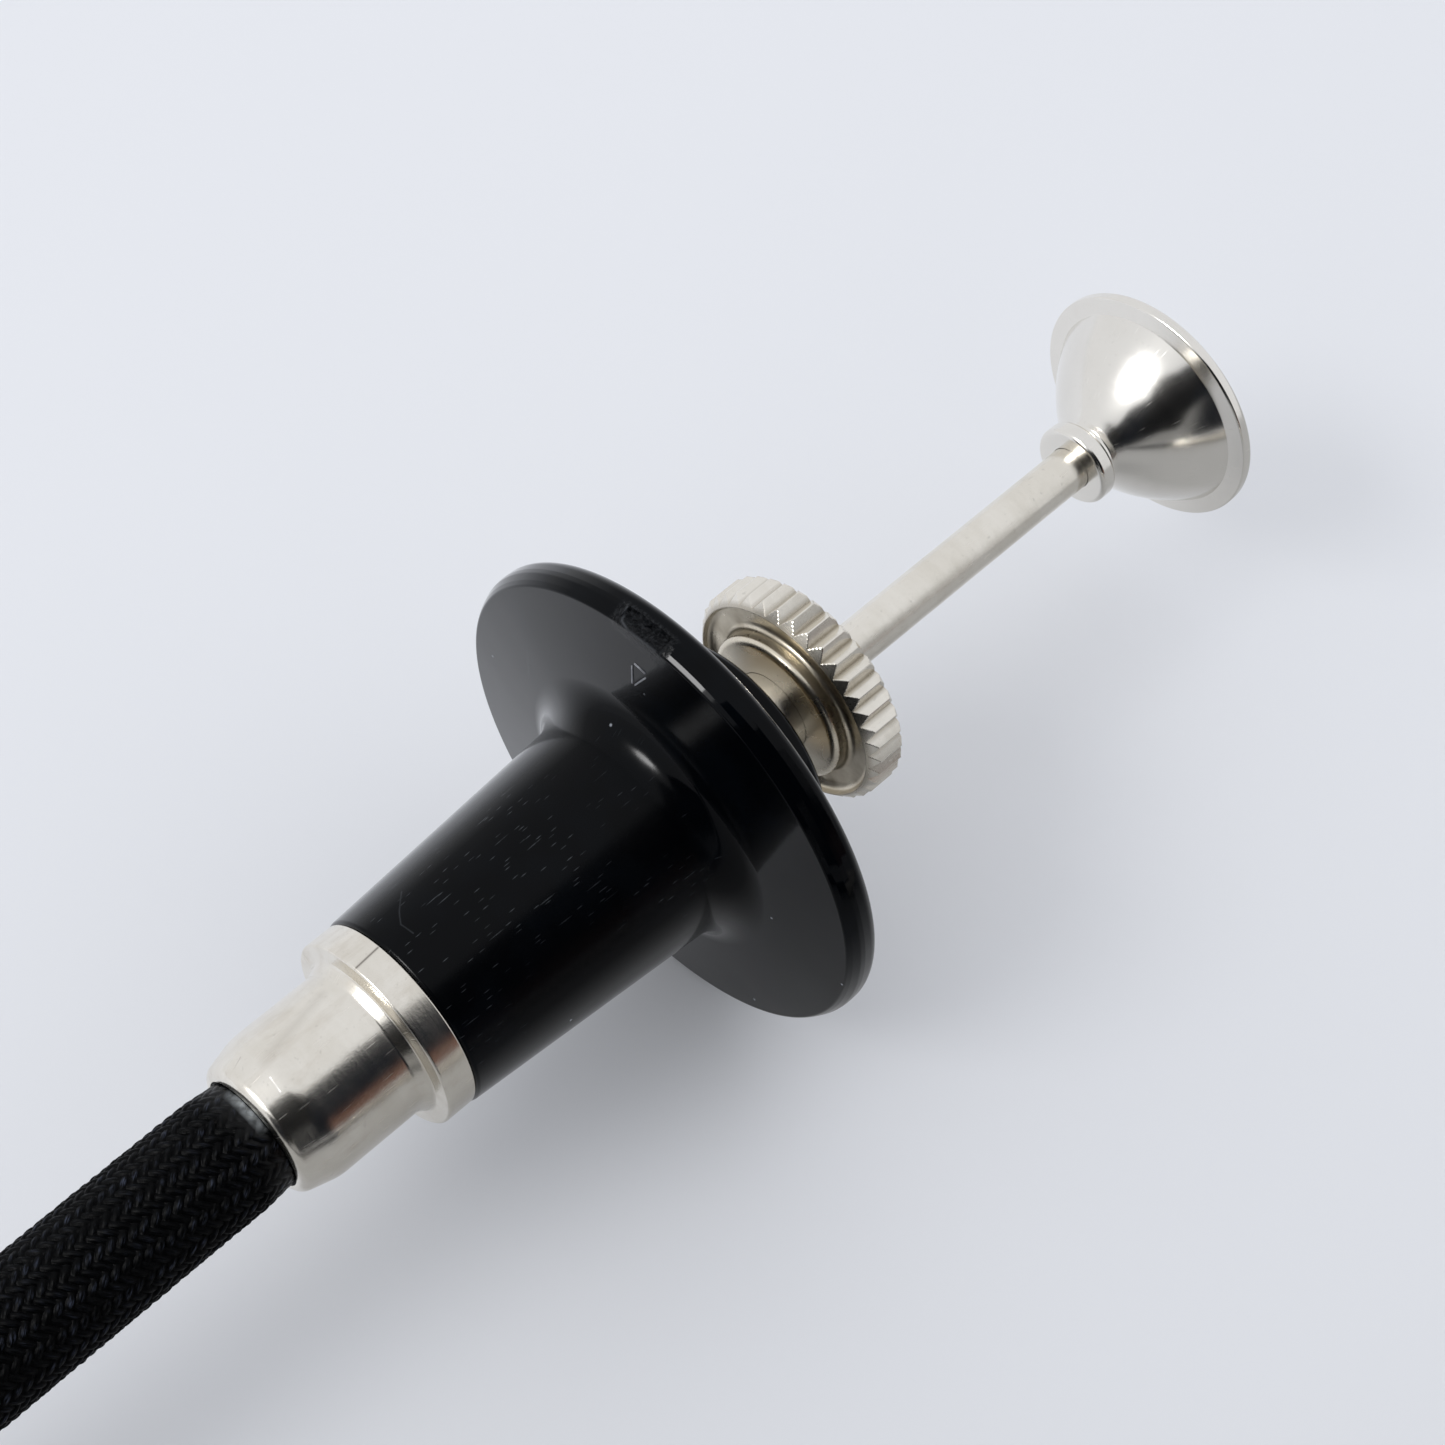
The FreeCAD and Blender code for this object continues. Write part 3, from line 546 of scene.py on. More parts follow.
class Finish(Net):
    """A material that is being wired. solid is the place in millimetres from the middle of the flange, and
    skin is the place over a piece's surface."""

    def __init__(self, name):
        self.material = bpy.data.materials.new(name)
        self.material.use_nodes = True
        super().__init__(self.material.node_tree)
        self.tree.nodes.clear()
        self.shader = self.tree.nodes.new("ShaderNodeBsdfPrincipled")
        self.add("OutputMaterial", {"Surface": self.shader.outputs[0]})
        place = self.add("TexCoord", {})
        self.solid = self.stretch(self.vector("SUBTRACT", place["Object"], HANDLE)[0], [1 / MM] * 3)
        self.skin = place["UV"]

    def grains(self, scale, detail=2.0, roughness=0.5):
        return self.noise(self.solid, scale, detail, roughness)

    def scribed(self, places, width):
        """A mask of the scratched lines that join these places."""
        spots = [(station, radius * math.cos(math.radians(bearing)), radius * math.sin(math.radians(bearing)))
                 for station, radius, bearing in places]
        lines = [self.use(SCRIBE, Vector=self.solid, Start=start, Stop=stop, Width=width)[0]
                 for start, stop in zip(spots, spots[1:])]
        return self.most(*lines)

    def shaded(self, values):
        """The material, once its shader has these inputs."""
        self.fill(self.shader, values)
        return self.material


def plastic_finish():
    """Black moulded plastic: a glossy flange, a body dulled and scratched by handling, a torn gate."""
    net = Finish("grip_plastic")
    x, y, z = net.split(net.solid)
    turn = net.math("ARCTAN2", z, y)
    around = net.combine(net.times(turn, 4.8), x)
    on_body = net.remap(x, -1.5, -2.3)
    patches = net.remap(net.grains(0.3), 0.46, 0.58)
    short = net.use(SCRATCHES, Vector=around, Length=1.1, Width=0.026, Share=0.3)[0]
    long = net.use(SCRATCHES, Vector=around, Length=2.6, Width=0.03, Share=0.1)[0]
    handled = net.times(net.remap(turn, 0.6, 1.0), net.remap(turn, 2.4, 2.0), net.remap(x, -4.5, -6.5))
    elsewhere = net.times(patches, net.remap(handled, 0.0, 1.0, 0.5, 0.0))
    marks = net.times(net.most(short, long), net.most(handled, elsewhere), on_body,
                      net.remap(net.grains(2.0), 0.35, 0.65, 0.25, 1.0))
    hairs = net.most(net.scribed(HAIRLINE, 0.045), net.scribed(FLANGE_SCRATCH, 0.06))
    near_gate = net.times(net.remap(z, 10.0, 10.6), net.remap(y, -0.9, -0.5),
                          net.remap(y, 2.3, 1.85), net.remap(x, 0.1, -0.1))
    torn = net.times(near_gate, net.remap(net.grains(7.0, 4.0, 0.7), 0.45, 0.75))
    dust = net.use(DUST, Vector=net.solid, Scale=0.85, Share=0.09)[0]
    pale = net.most(net.times(marks, 0.2), dust, net.times(hairs, 0.09), net.times(torn, 0.12),
                    net.times(net.scribed(GATE_RIM, 0.09), 0.2))
    tone = net.mix(patches, (0.0007, 0.0010, 0.0016), (0.0012, 0.0018, 0.0028))
    haze = net.remap(net.grains(1.6, 4.0), 0.3, 0.75, 0.05, 0.10)
    ripple = net.scaled(net.grains(2.5), 0.06, net.grains(0.3, 1.0))
    edge = net.add("LayerWeight", {"Blend": 0.5})["Facing"]
    return net.shaded({
        "Base Color": net.mix(pale, tone, (0.30, 0.32, 0.35)),
        "Roughness": net.most(net.scaled(on_body, 0.16, haze), net.times(near_gate, 0.38), net.times(pale, 0.6)),
        "Normal": net.bump(net.scaled(torn, 1.2, ripple), 0.03),
        "IOR": 1.5,
        "Specular IOR Level": PLASTIC_SHINE,
        "Coat Weight": net.remap(edge, 0.36, 0.62, 0.0, 0.6),
        "Coat Roughness": 0.1,
    })


def mark_highlight_finish():
    """The raised mark on the flange, painted pale grey in patches: a painted highlight on its bars."""
    net = Finish("highlit_mark_plastic")
    # painted highlight: the bars are painted pale grey in patches
    painted_highlight = net.remap(net.grains(3.0, 3.0), 0.3, 0.7)
    return net.shaded({
        "Base Color": net.mix(painted_highlight, (0.12, 0.125, 0.14), (0.42, 0.43, 0.46)),
        "Roughness": net.remap(painted_highlight, 0.0, 1.0, 0.25, 0.45),
    })


def metal_finish(name, tone, dull, shine, wear, fineness=20.0, depth=0.0012, on_skin=True, marks=None):
    """A plated or plain metal with turning marks, dull clouds, specks, fine scratches, and its own marks and painted
    light.
    """
    net = Finish(name)
    around = net.skin if on_skin else net.solid
    rings = net.use(TURNING_MARKS, Vector=around, Fineness=fineness)
    clouds = net.use(TARNISH, Vector=net.solid, Scale=0.55, Amount=wear)
    scratches = net.use(SCRATCHES, Vector=around, Length=2.2, Width=0.02, Share=0.12)[0]
    grain = net.use(GRAIN, Vector=net.solid, Size=0.14)[0]
    streak = net.remap(rings["Streak"], 0.35, 0.7, 0.0, 0.35)
    colour = net.mix(net.scaled(streak, wear, clouds["Mask"]), tone, dull)
    colour = net.mix(net.times(clouds["Specks"], 0.35), colour, [part * 0.45 for part in dull])
    rough = net.scaled(clouds["Mask"], 0.14, shine)
    rough = net.scaled(rings["Streak"], 0.06, rough)
    rough = net.scaled(scratches, 0.12, rough)
    for mask, mark, roughness in marks(net) if marks else []:
        colour = net.mix(mask, colour, mark)
        rough = net.scaled(mask, roughness, rough)
    height = net.math("ADD", net.scaled(scratches, -0.35, rings["Height"]), grain)
    return net.shaded({"Base Color": colour, "Roughness": rough, "Metallic": 1.0, "Normal": net.bump(height, depth)})


def ferrule_marks_and_painted_light(net):
    """Brown stains, a scribed line over the ring, a tick on the barrel, a painted dark reflection streak along the
    barrel and a painted glint on it.
    """
    stain = net.noise(net.stretch(net.solid, (0.35, 1.0, 1.0)), 0.9, 4.0, 0.6)
    return [
        (net.remap(stain, 0.52, 0.75, 0.0, 0.35), (0.50, 0.43, 0.34), 0.05),
        # painted dark reflection along the barrel
        (net.times(net.scribed(PAINTED_DARK_REFLECTION, 0.4), 0.3), (0.46, 0.42, 0.36), 0.08),
        (net.times(net.scribed(RING_SCRIBE, 0.075), 0.85), (0.10, 0.085, 0.075), 0.3),
        (net.times(net.scribed(SHOULDER_TICK, 0.045), 0.55), (0.22, 0.18, 0.15), 0.3),
        # painted glint, a painted highlight in near white
        (net.scribed(PAINTED_GLINT, 0.05), (0.97, 0.97, 0.95), 0.3),
    ]


def wheel_tone_and_painted_shade(net):
    """The dished underside of the wheel is dull and painted a darker, warmer tone; painted shade darkens its deepest
    part brown, and the floors of the knurl grooves.
    """
    x, y, z = net.split(net.solid)
    radius = net.math("SQRT", net.scaled(y, y, net.times(z, z)))
    under = net.remap(x, DISH_FLOOR + 0.3, DISH_FLOOR + 0.1)
    inside = net.remap(radius, DISH_RADIUS + 0.16, DISH_RADIUS + 0.06)
    deep = net.remap(x, HUB_START + 0.25, DISH_FLOOR)
    uneven = net.remap(net.grains(0.9, 4.0), 0.35, 0.68, 0.15, 1.0)
    groove = net.times(net.remap(radius, WHEEL_RADIUS - 0.2, WHEEL_RADIUS - KNURL_DEPTH),
                       net.remap(radius, DISH_RADIUS + 0.06, DISH_RADIUS + 0.12), 0.7)
    return [
        (net.times(under, inside, 0.85), (0.70, 0.635, 0.51), 0.05),
        # painted shade: brown towards the deepest part of the dish
        (net.times(deep, inside, uneven, 0.65), (0.30, 0.245, 0.16), 0.08),
        # painted shade in the floors of the knurl grooves
        (groove, (0.40, 0.36, 0.29), 0.05),
    ]


def yarn_heights(net, first, second):
    """Heights of the yarns that run each way over the braid."""
    tops = []
    for own, other, sign in ((first, second, 1.0), (second, first, -1.0)):
        middle = net.math("ROUND", own)
        off = net.math("SUBTRACT", own, middle)
        crown = net.scaled(net.times(off, off), -3.0, 1.0)
        turn = net.scaled(net.math("ADD", middle, other), math.pi / 2, -math.pi / 4)
        tops.append(net.scaled(net.math("COSINE", turn), YARN_LIFT * sign, crown))
    return tops


def braid_finish(name, lacquer):
    """Black glazed cotton yarn; each float shows its fibres and a painted glint on its top, strongest on the yarns
    that run one way. With lacquer, the ends are lacquered and a painted highlight lies on the top of the cable's end
    by the ferrule's mouth.
    """
    net = Finish(name)
    around, length, flat = net.split(net.skin)
    first = net.math("SUBTRACT", around, length)
    second = net.math("ADD", around, length)
    one_way, other_way = yarn_heights(net, first, second)
    on_top = net.math("GREATER_THAN", one_way, other_way)
    top = net.most(one_way, other_way)
    across = net.add("Mix", {"Factor": on_top, 2: second, 3: first})[0]
    along = net.add("Mix", {"Factor": on_top, 2: first, 3: second})[0]
    fibres = net.noise(net.combine(net.times(across, 6.0), net.times(along, 0.7), on_top), 1.0, 3.0)
    # painted glint: the tops of the floats are painted blue-grey, mostly on the yarns that run one way
    painted_yarn_glint = net.times(net.remap(top, 1.1, 1.45), net.remap(fibres, 0.45, 0.68),
                      net.remap(net.grains(0.9, 4.0), 0.42, 0.62), net.remap(on_top, 0.0, 1.0, 0.25, 1.0))
    colour = net.mix(painted_yarn_glint, (0.0004, 0.0005, 0.0008), (0.05, 0.058, 0.085))
    colour = net.mix(net.use(DUST, Vector=net.solid, Scale=1.1, Share=0.03)[0], colour, (0.09, 0.09, 0.10))
    coat = {}
    if lacquer:
        start, end = LACQUER_LENGTH / YARN_PITCH, CABLE_LENGTH / YARN_PITCH
        ends = net.most(net.remap(length, start, 0.0), net.remap(length, end - start, end))
        coat = {"Coat Weight": net.times(ends, 0.4), "Coat Roughness": 0.25}
        x, y, z = net.split(net.solid)
        # painted highlight: a pale grey smear on the top of the cable's end by the ferrule's mouth
        painted_mouth_highlight = net.times(net.remap(length, 0.95, 0.25), net.remap(y, 1.1, 0.2), net.remap(y, -1.3, -0.6),
                          net.remap(z, 1.0, 1.6), net.remap(net.grains(3.0, 4.0), 0.3, 0.6, 0.3, 0.8))
        colour = net.mix(painted_mouth_highlight, colour, (0.42, 0.45, 0.46))
    return net.shaded({
        "Base Color": colour,
        "Roughness": net.remap(fibres, 0.3, 0.7, 0.38, 0.6),
        "Normal": net.bump(net.scaled(fibres, 0.35, top), YARN_DEPTH, 0.7),
        "Specular IOR Level": YARN_SHINE,
        **coat,
    })


def floor_finish():
    """Smooth pale table top that glows a little for camera rays. For glossy rays only it is painted darker on the near
    side of the handle, a painted shade that the polished pieces mirror, and glows more on the far side, a painted
    light in their reflections.
    """
    net = Finish("pale_table")
    beside = net.split(net.solid)[1]  # the table's own Y axis points to the near side
    path = net.add("LightPath", {})
    glossy = path["Is Glossy Ray"]
    colour = net.mix(net.grains(0.01), FLOOR_TONE, FLOOR_WARM_TONE)
    # glow for camera rays, and for glossy rays a painted light on the far side of the handle
    bright = net.most(path["Is Camera Ray"], net.times(glossy, net.remap(beside, 8.0, -2.0, 0.0, 2.0)))
    return net.shaded({
        # painted shade for glossy rays: darker on the near side of the handle
        "Base Color": net.mix(net.times(glossy, net.remap(beside, -2.0, 8.0)), colour, FLOOR_MIRRORED_SHADE),
        "Roughness": net.remap(net.grains(1.5, 3.0), 0.3, 0.7, 0.6, 0.7),
        "Emission Strength": net.times(bright, FLOOR_GLOW),
        "Emission Color": (0.95, 0.965, 1.0),
    })


def board_finish():
    """Dull black board that keeps light off the object."""
    net = Finish("black_board")
    colour = net.mix(net.grains(0.02), (0.003, 0.003, 0.004), (0.005, 0.005, 0.006))
    return net.shaded({"Base Color": colour, **MATT})


def screen_finish():
    """Dark cloth, brown near the table at one side and grey at that side's end."""
    net = Finish("dark_cloth")
    x, y, z = net.split(net.solid)
    folds = net.grains(0.03, 3.0)
    colour = net.mix(folds, (0.002, 0.003, 0.006), (0.012, 0.014, 0.02))
    brown = net.times(net.remap(net.scaled(net.grains(0.02, 3.0), 50.0, z), 85.0, 45.0), net.remap(x, 0.0, 40.0))
    colour = net.mix(brown, colour, (0.21, 0.11, 0.08))
    below = net.math("SUBTRACT", net.scaled(x, 1.4, 246.0), z)
    pale = net.times(net.remap(below, -14.0, 14.0), net.remap(x, -72.0, -102.0))
    colour = net.mix(pale, colour, (0.36, 0.355, 0.34))
    end = net.remap(net.scaled(folds, 20.0, x), 104.0, 118.0)
    return net.shaded({"Base Color": net.mix(end, colour, (0.55, 0.54, 0.52)), **MATT})


# Turned pieces

def swing(start, stop, turn, share):
    """A spoke turned part of the way from start to stop."""
    return (start * math.sin((1 - share) * turn) + stop * math.sin(share * turn)) / math.sin(turn)


def bowed(first, last, radius):
    """Points inside an arc, to the left of the way from first to last, or right if the radius is negative."""
    chord = last - first
    half = chord.length / 2
    side = Vector((-chord.y, chord.x)).normalized() * math.copysign(1, radius)
    centre = (first + last) / 2 - side * math.sqrt(radius * radius - half * half)
    start = first - centre
    stop = last - centre
    turn = start.angle(stop)
    steps = max(4, math.ceil(turn / ARC_STEP * 2))
    return [centre + swing(start, stop, turn, step / steps) for step in range(1, steps)]


def rounded(before, here, after, radius):
    """Points of the small arc that rounds a corner."""
    back = (before - here).normalized()
    ahead = (after - here).normalized()
    half = back.angle(ahead) / 2
    centre = here + (back + ahead).normalized() * (radius / math.sin(half))
    reach = radius / math.tan(half)
    start = here + back * reach - centre
    stop = here + ahead * reach - centre
    turn = math.pi - 2 * half
    steps = max(3, math.ceil(turn / ARC_STEP))
    return [centre + swing(start, stop, turn, step / steps) for step in range(steps + 1)]


def outline(corners):
    """Points of a closed half outline. A corner has a station and a radius, then if need be the radius that
    rounds it and the radius of the arc that leaves it."""
    spots = [Vector(corner[:2]) for corner in corners]
    points = []
    for i, here in enumerate(spots):
        edge, bow = (*corners[i][2:], 0, 0)[:2]
        after = spots[(i + 1) % len(spots)]
        points += rounded(spots[i - 1], here, after, edge) if edge else [here]
        points += bowed(here, after, bow) if bow else []
    return points


def blended(before, after, own):
    """Outward direction at the end of a run, blended over a soft corner by length."""
    way = before + after if before.angle(after, 0) < CREASE else own
    return Vector((-way.y, way.x)).normalized()


def set_slopes(mesh, points, angles):
    """Exact surface directions, so that gloss runs smoothly over flats and rounded edges."""
    runs = [after - here for here, after in zip(points, points[1:] + points[:1])]
    around = [(math.cos(angle), math.sin(angle)) for angle in angles]
    ways = []
    for i, run in enumerate(runs):
        start = blended(runs[i - 1], run, run)
        stop = blended(run, runs[(i + 1) % len(runs)], run)
        for column in range(len(angles)):
            for slope, side in ((start, column), (start, column + 1), (stop, column + 1), (stop, column)):
                cosine, sine = around[side % len(angles)]
                ways.append((slope.x, slope.y * cosine, slope.y * sine))
    mesh.normals_split_custom_set(ways)


def keep_slopes(cut, plain):
    """Give the uncut faces of a piece their exact surface directions."""
    moved = [(a.co - b.co).length > 1e-9 for a, b in zip(cut.vertices, plain.vertices)]
    ways = [tuple(corner.vector) for corner in plain.corner_normals]
    own = [tuple(corner.vector) for corner in cut.corner_normals]
    for face in cut.polygons:
        if any(moved[i] for i in face.vertices):
            for loop in face.loop_indices:
                ways[loop] = own[loop]
    cut.normals_split_custom_set(ways)


def turned_skin(points, angles):
    """Surface coordinates in millimetres round the widest girth and along the outline."""
    girth = max(radius for along, radius in points)
    lengths = [0.0]
    for here, after in zip(points, points[1:] + points[:1]):
        lengths.append(lengths[-1] + (after - here).length)
    turns = [angle * girth for angle in angles] + [2 * math.pi * girth]
    skin = []
    for row in range(len(points)):
        for column in range(len(angles)):
            for across, up in ((column, row), (column + 1, row), (column + 1, row + 1), (column, row + 1)):
                skin += (turns[across], lengths[up])
    return skin


def turned(name, corners, place, body, finish, node="", slot=None, angles=None, shape=None):
    """A piece turned about the X axis from a closed half outline, in place on the handle or fitting."""
    points = outline(corners)
    angles = angles or [2 * math.pi * i / COLUMNS for i in range(COLUMNS)]
    columns = len(angles)
    verts = []
    for along, radius in points:
        for angle in angles:
            x, out, turn = shape(along, radius, angle) if shape else (along, radius, angle)
            verts.append(place + Vector((x, out * math.cos(turn), out * math.sin(turn))) * MM)
    faces = []
    for row in range(len(points)):
        below = row * columns
        above = (row + 1) % len(points) * columns
        for column in range(columns):
            side = (column + 1) % columns
            faces.append((below + column, below + side, above + side, above + column))
    mesh = new_mesh(name, verts, faces, turned_skin(points, angles))
    if shape:
        mesh.set_sharp_from_angle(angle=CREASE)
    else:
        set_slopes(mesh, points, angles)
    return settle(name, mesh, body, finish, node)


def shoulder_bow(length, drop):
    """Radius of an arc that leaves a barrel smoothly and drops towards the mouth."""
    return (length * length + drop * drop) / (drop * 2)


def knurls(radius, depth, width, count):
    """Columns that fall on the edges, the slopes and the floor of every groove of a rim, and the shape that
    cuts these straight V grooves into whatever stands near it."""
    pitch = 2 * math.pi * radius / count
    shares = [width / 2 / pitch * step / KNURL_STEPS for step in range(-KNURL_STEPS, KNURL_STEPS + 1)]
    angles = [2 * math.pi * (groove + share) / count for groove in range(count) for share in shares + [0.5]]

    def shape(along, here, angle):
        turn = angle * radius / pitch
        off = abs(turn - round(turn)) * pitch
        return along, min(here, radius - depth * max(0.0, 1 - off / (width / 2))), angle
    return angles, shape


def rim_steps(start, end, radius, start_edge, end_edge, start_steps):
    """Corners of a rim with a chamfer at each end, close together so that grooves run out cleanly."""
    spots = [(start, radius - start_edge), (start + start_edge, radius),
             (end - end_edge, radius), (end, radius - end_edge)]
    runs = [steps_between(*run) for run in zip(spots, spots[1:], (start_steps, 3, 6))]
    return [*sum(runs, []), spots[-1]]


# Cable

def cable_points():
    """Points along the cable's line, a smooth spline with the route's points as its control points."""
    curve = bpy.data.curves.new("cable_line", "CURVE")
    curve.dimensions = "3D"
    curve.resolution_u = ROUTE_STEPS
    spline = curve.splines.new("NURBS")
    spline.points.add(len(ROUTE) - 1)
    for point, spot in zip(spline.points, ROUTE):
        point.co = (*(Vector(spot) * MM), 1)
    spline.order_u = 3
    spline.use_endpoint_u = True
    holder = stand("cable_line", curve)
    mesh = bpy.data.meshes.new_from_object(holder.evaluated_get(bpy.context.evaluated_depsgraph_get()))
    points = [vertex.co.copy() for vertex in mesh.vertices]
    bpy.data.objects.remove(holder)
    return points


def line_way(line, i):
    """Direction of the line at one of its points."""
    return (line[min(i + 1, len(line) - 1)] - line[max(i - 1, 0)]).normalized()


def braid_height(across, along):
    """Height of the braid's surface, about 0 to 1.5, from its yarn coordinates."""
    tops = []
    for own, other, sign in ((across - along, across + along, 1), (across + along, across - along, -1)):
        middle = round(own)
        off = own - middle
        yarn = middle % YARNS_EACH_WAY
        fullness = YARN_UNEVENNESS * noise.noise(Vector((yarn * 0.83, along * 0.9, sign * 7.0)))
        lift = YARN_LIFT * sign * math.cos(math.pi / 2 * (middle + other) - math.pi / 4)
        tops.append(1 + fullness - 3 * off * off + lift)
    return max(tops)


def ring_stations(length):
    """Stations of the rings of the cable's skin: close at the handle, wider along the rest."""
    stations = [0.0]
    while stations[-1] < length - 1e-6:
        share = min(max((stations[-1] - FINE_LENGTH) / STEP_FADE, 0), 1)
        step = FINE_STEP + (PLAIN_STEP - FINE_STEP) * share
        stations.append(min(stations[-1] + step, length))
    return stations


def tube_mesh(name, verts, columns, rows):
    """A mesh through rings of points, whose rows are the rings' places along the yarns."""
    faces = []
    skin = []
    for row in range(len(rows) - 1):
        low = row * columns
        for column in range(columns):
            side = (column + 1) % columns
            faces.append((low + column, low + column + columns, low + side + columns, low + side))
            left = column / columns * YARNS_EACH_WAY
            right = (column + 1) / columns * YARNS_EACH_WAY
            for across, up in ((left, row), (left, row + 1), (right, row + 1), (right, row)):
                skin += (across + rows[up] * YARN_TWIST, rows[up])
    return new_mesh(name, verts, faces, skin)


def make_cable(finish):
    """Braided tube along the line; its yarns stand out near the handle and fade into the finish."""
    line = cable_points()
    reach = [0.0]
    for first, last in zip(line, line[1:]):
        reach.append(reach[-1] + (last - first).length / MM)
    total = reach[-1]
    columns = YARNS_EACH_WAY * YARN_COLUMNS
    verts = []
    rows = []
    up = Vector((0, 0, 1))
    spot = 0
    for station in ring_stations(total):
        while spot < len(line) - 2 and reach[spot + 1] < station:
            spot += 1
        share = (station - reach[spot]) / (reach[spot + 1] - reach[spot])
        centre = line[spot].lerp(line[spot + 1], share)
        way = line_way(line, spot).lerp(line_way(line, spot + 1), share).normalized()
        side = way.cross(up).normalized()
        up = side.cross(way).normalized()
        along = station / YARN_PITCH
        rows.append(along)
        lacquer = max(0.0, 1 - min(station, total - station) / LACQUER_LENGTH)
        fade = min(max((FINE_LENGTH + RELIEF_FADE - station) / RELIEF_FADE, 0), 1)
        relief = (1 - LACQUER_FILL * lacquer) * fade
        for column in range(columns):
            angle = 2 * math.pi * column / columns
            across = column / columns * YARNS_EACH_WAY + along * YARN_TWIST
            lift = braid_height(across, along) - YARN_MIDDLE if relief > 0 else 0
            radius = CABLE_RADIUS - LACQUER_SHRINK * lacquer + YARN_DEPTH * relief * lift
            verts.append(centre + (side * math.cos(angle) + up * math.sin(angle)) * radius * MM)
    piece = settle("braided_cable", tube_mesh("braided_cable", verts, columns, rows), "handle", finish,
                   "cable_run cable_bend cable_tail")
    return piece, line


# Grip

def gate_notch(along, radius, angle):
    """Sinks the moulding gate into the flange rim; its floor is torn and uneven."""
    across = radius * math.cos(angle)
    height = radius * math.sin(angle)
    floor = FLANGE_RADIUS - GATE_DEPTH
    inside = abs(across - GATE_OFFSET) < GATE_WIDTH / 2 and -GATE_FOOT < along < -GATE_TOP
    if not inside or height < floor:
        return along, radius, angle
    torn = noise.noise(Vector((along * 5, across * 3.2, 1.7))) + 0.5 * noise.noise(Vector((along * 13, across * 9, 4)))
    height = floor + GATE_ROUGHNESS * torn
    return along, math.hypot(across, height), math.atan2(height, across)


def grip_angles():
    """Columns round the grip, close together at the gate."""
    first, last = [math.radians(bearing) for bearing in GATE_BEARINGS]
    rest = 2 * math.pi - (last - first)
    fine = [first + (last - first) * i / GATE_COLUMNS for i in range(GATE_COLUMNS + 1)]
    return fine + [last + rest * i / GRIP_COLUMNS for i in range(1, GRIP_COLUMNS)]


def make_grip(finish):
    """Finger flange, body and boss, with the bores that the other pieces sit in."""
    corners = [
        (-BODY_LENGTH, SOCKET_RADIUS), (-BODY_LENGTH, BODY_END_RADIUS, BODY_END_ROUND),
        (UNDERSIDE, BODY_ROOT_RADIUS, UNDERSIDE_ROUND), *RIM_FACET,
        (-GATE_TOP - 0.02, FLANGE_RADIUS), (-GATE_TOP + 0.01, FLANGE_RADIUS),
        (FLANGE_HALF, FLANGE_RADIUS, RIM_ROUND), (FLANGE_HALF, BOSS_ROOT_RADIUS, TOPSIDE_ROUND),
        (BOSS_LENGTH, BOSS_TOP_RADIUS, BOSS_EDGE), (BOSS_LENGTH, POCKET_RADIUS, POCKET_EDGE),
        (POCKET_FLOOR, POCKET_RADIUS), (POCKET_FLOOR, MAIN_BORE_RADIUS),
        (SOCKET_FLOOR, MAIN_BORE_RADIUS), (SOCKET_FLOOR, SOCKET_RADIUS),
    ]
    angles = grip_angles()
    plain = turned("grip_form", corners, HANDLE, "handle", finish, angles=angles)
    cut = turned("grip", corners, HANDLE, "handle", finish, "grip_body", "grip_plastic", angles, gate_notch)
    keep_slopes(cut.data, plain.data)
    bpy.data.objects.remove(plain)


def on_underside(across, up, height):
    """A place on the flange's underside, raised off it by a height."""
    slope = FLANGE_SWELL / (FLANGE_RADIUS - BODY_ROOT_RADIUS)
    station = UNDERSIDE + slope * (math.hypot(across, up) - BODY_ROOT_RADIUS)
    return HANDLE + Vector((station - height, across, up)) * MM


def make_flange_mark(finish):
    """Three tiny raised bars on the underside of the flange."""
    profile = ((-MARK_ROOT, 1.0), (MARK_HEIGHT, 0.5), (MARK_HEIGHT, -0.5), (-MARK_ROOT, -1.0))
    verts = []
    faces = []
    for i, corner in enumerate(MARK_CORNERS):
        start = Vector(corner)
        run = Vector(MARK_CORNERS[(i + 1) % 3]) - start
        side = Vector((-run.y, run.x)).normalized()
        low, high = [range(first, first + 4) for first in (len(verts), len(verts) + 4)]
        for share in MARK_SPAN:
            for height, width in profile:
                spot = start + run * share + side * width * MARK_WIDTH / 2
                verts.append(on_underside(spot.x, spot.y, height))
        faces += [(low[k], low[(k + 1) % 4], high[(k + 1) % 4], high[k]) for k in range(4)]
        faces += [tuple(reversed(low)), tuple(high)]
    settle("flange_mark", new_mesh("flange_mark", verts, faces), "handle", finish)


# Ferrule and lock

def make_ferrule(finish):
    """Turned nickel ferrule: ring, barrel and rounded shoulder that grips the cable."""
    crimp = FERRULE_START + CRIMP_DEPTH
    seat = crimp + FERRULE_WEB
    spigot = SOCKET_FLOOR - SPIGOT_GAP
    corners = [
        (FERRULE_START, CRIMP_RADIUS), (FERRULE_START, MOUTH_RADIUS, MOUTH_EDGE),
        (FERRULE_START + MOUTH_LEAD, SHOULDER_RADIUS, 0, SHOULDER_BOW), (BARREL_START, BARREL_RADIUS),
        (RING_START - STEP_SLOPE, BARREL_RADIUS, 0.3), (RING_START - STEP_RISE, BARREL_RADIUS + STEP_FOOT, 0.2),
        (RING_START, RING_RADIUS, 0.12), (-BODY_LENGTH, RING_RADIUS, 0.1), (-BODY_LENGTH, SPIGOT_RADIUS),
        (spigot, SPIGOT_RADIUS), (spigot, MAIN_BORE_RADIUS), (seat, MAIN_BORE_RADIUS), (seat, WIRE_HOLE),
        (crimp, WIRE_HOLE), (crimp, CRIMP_RADIUS),
    ]
    turned("cable_ferrule_shell", corners, HANDLE, "handle", finish, "cable_ferrule", "nickel")


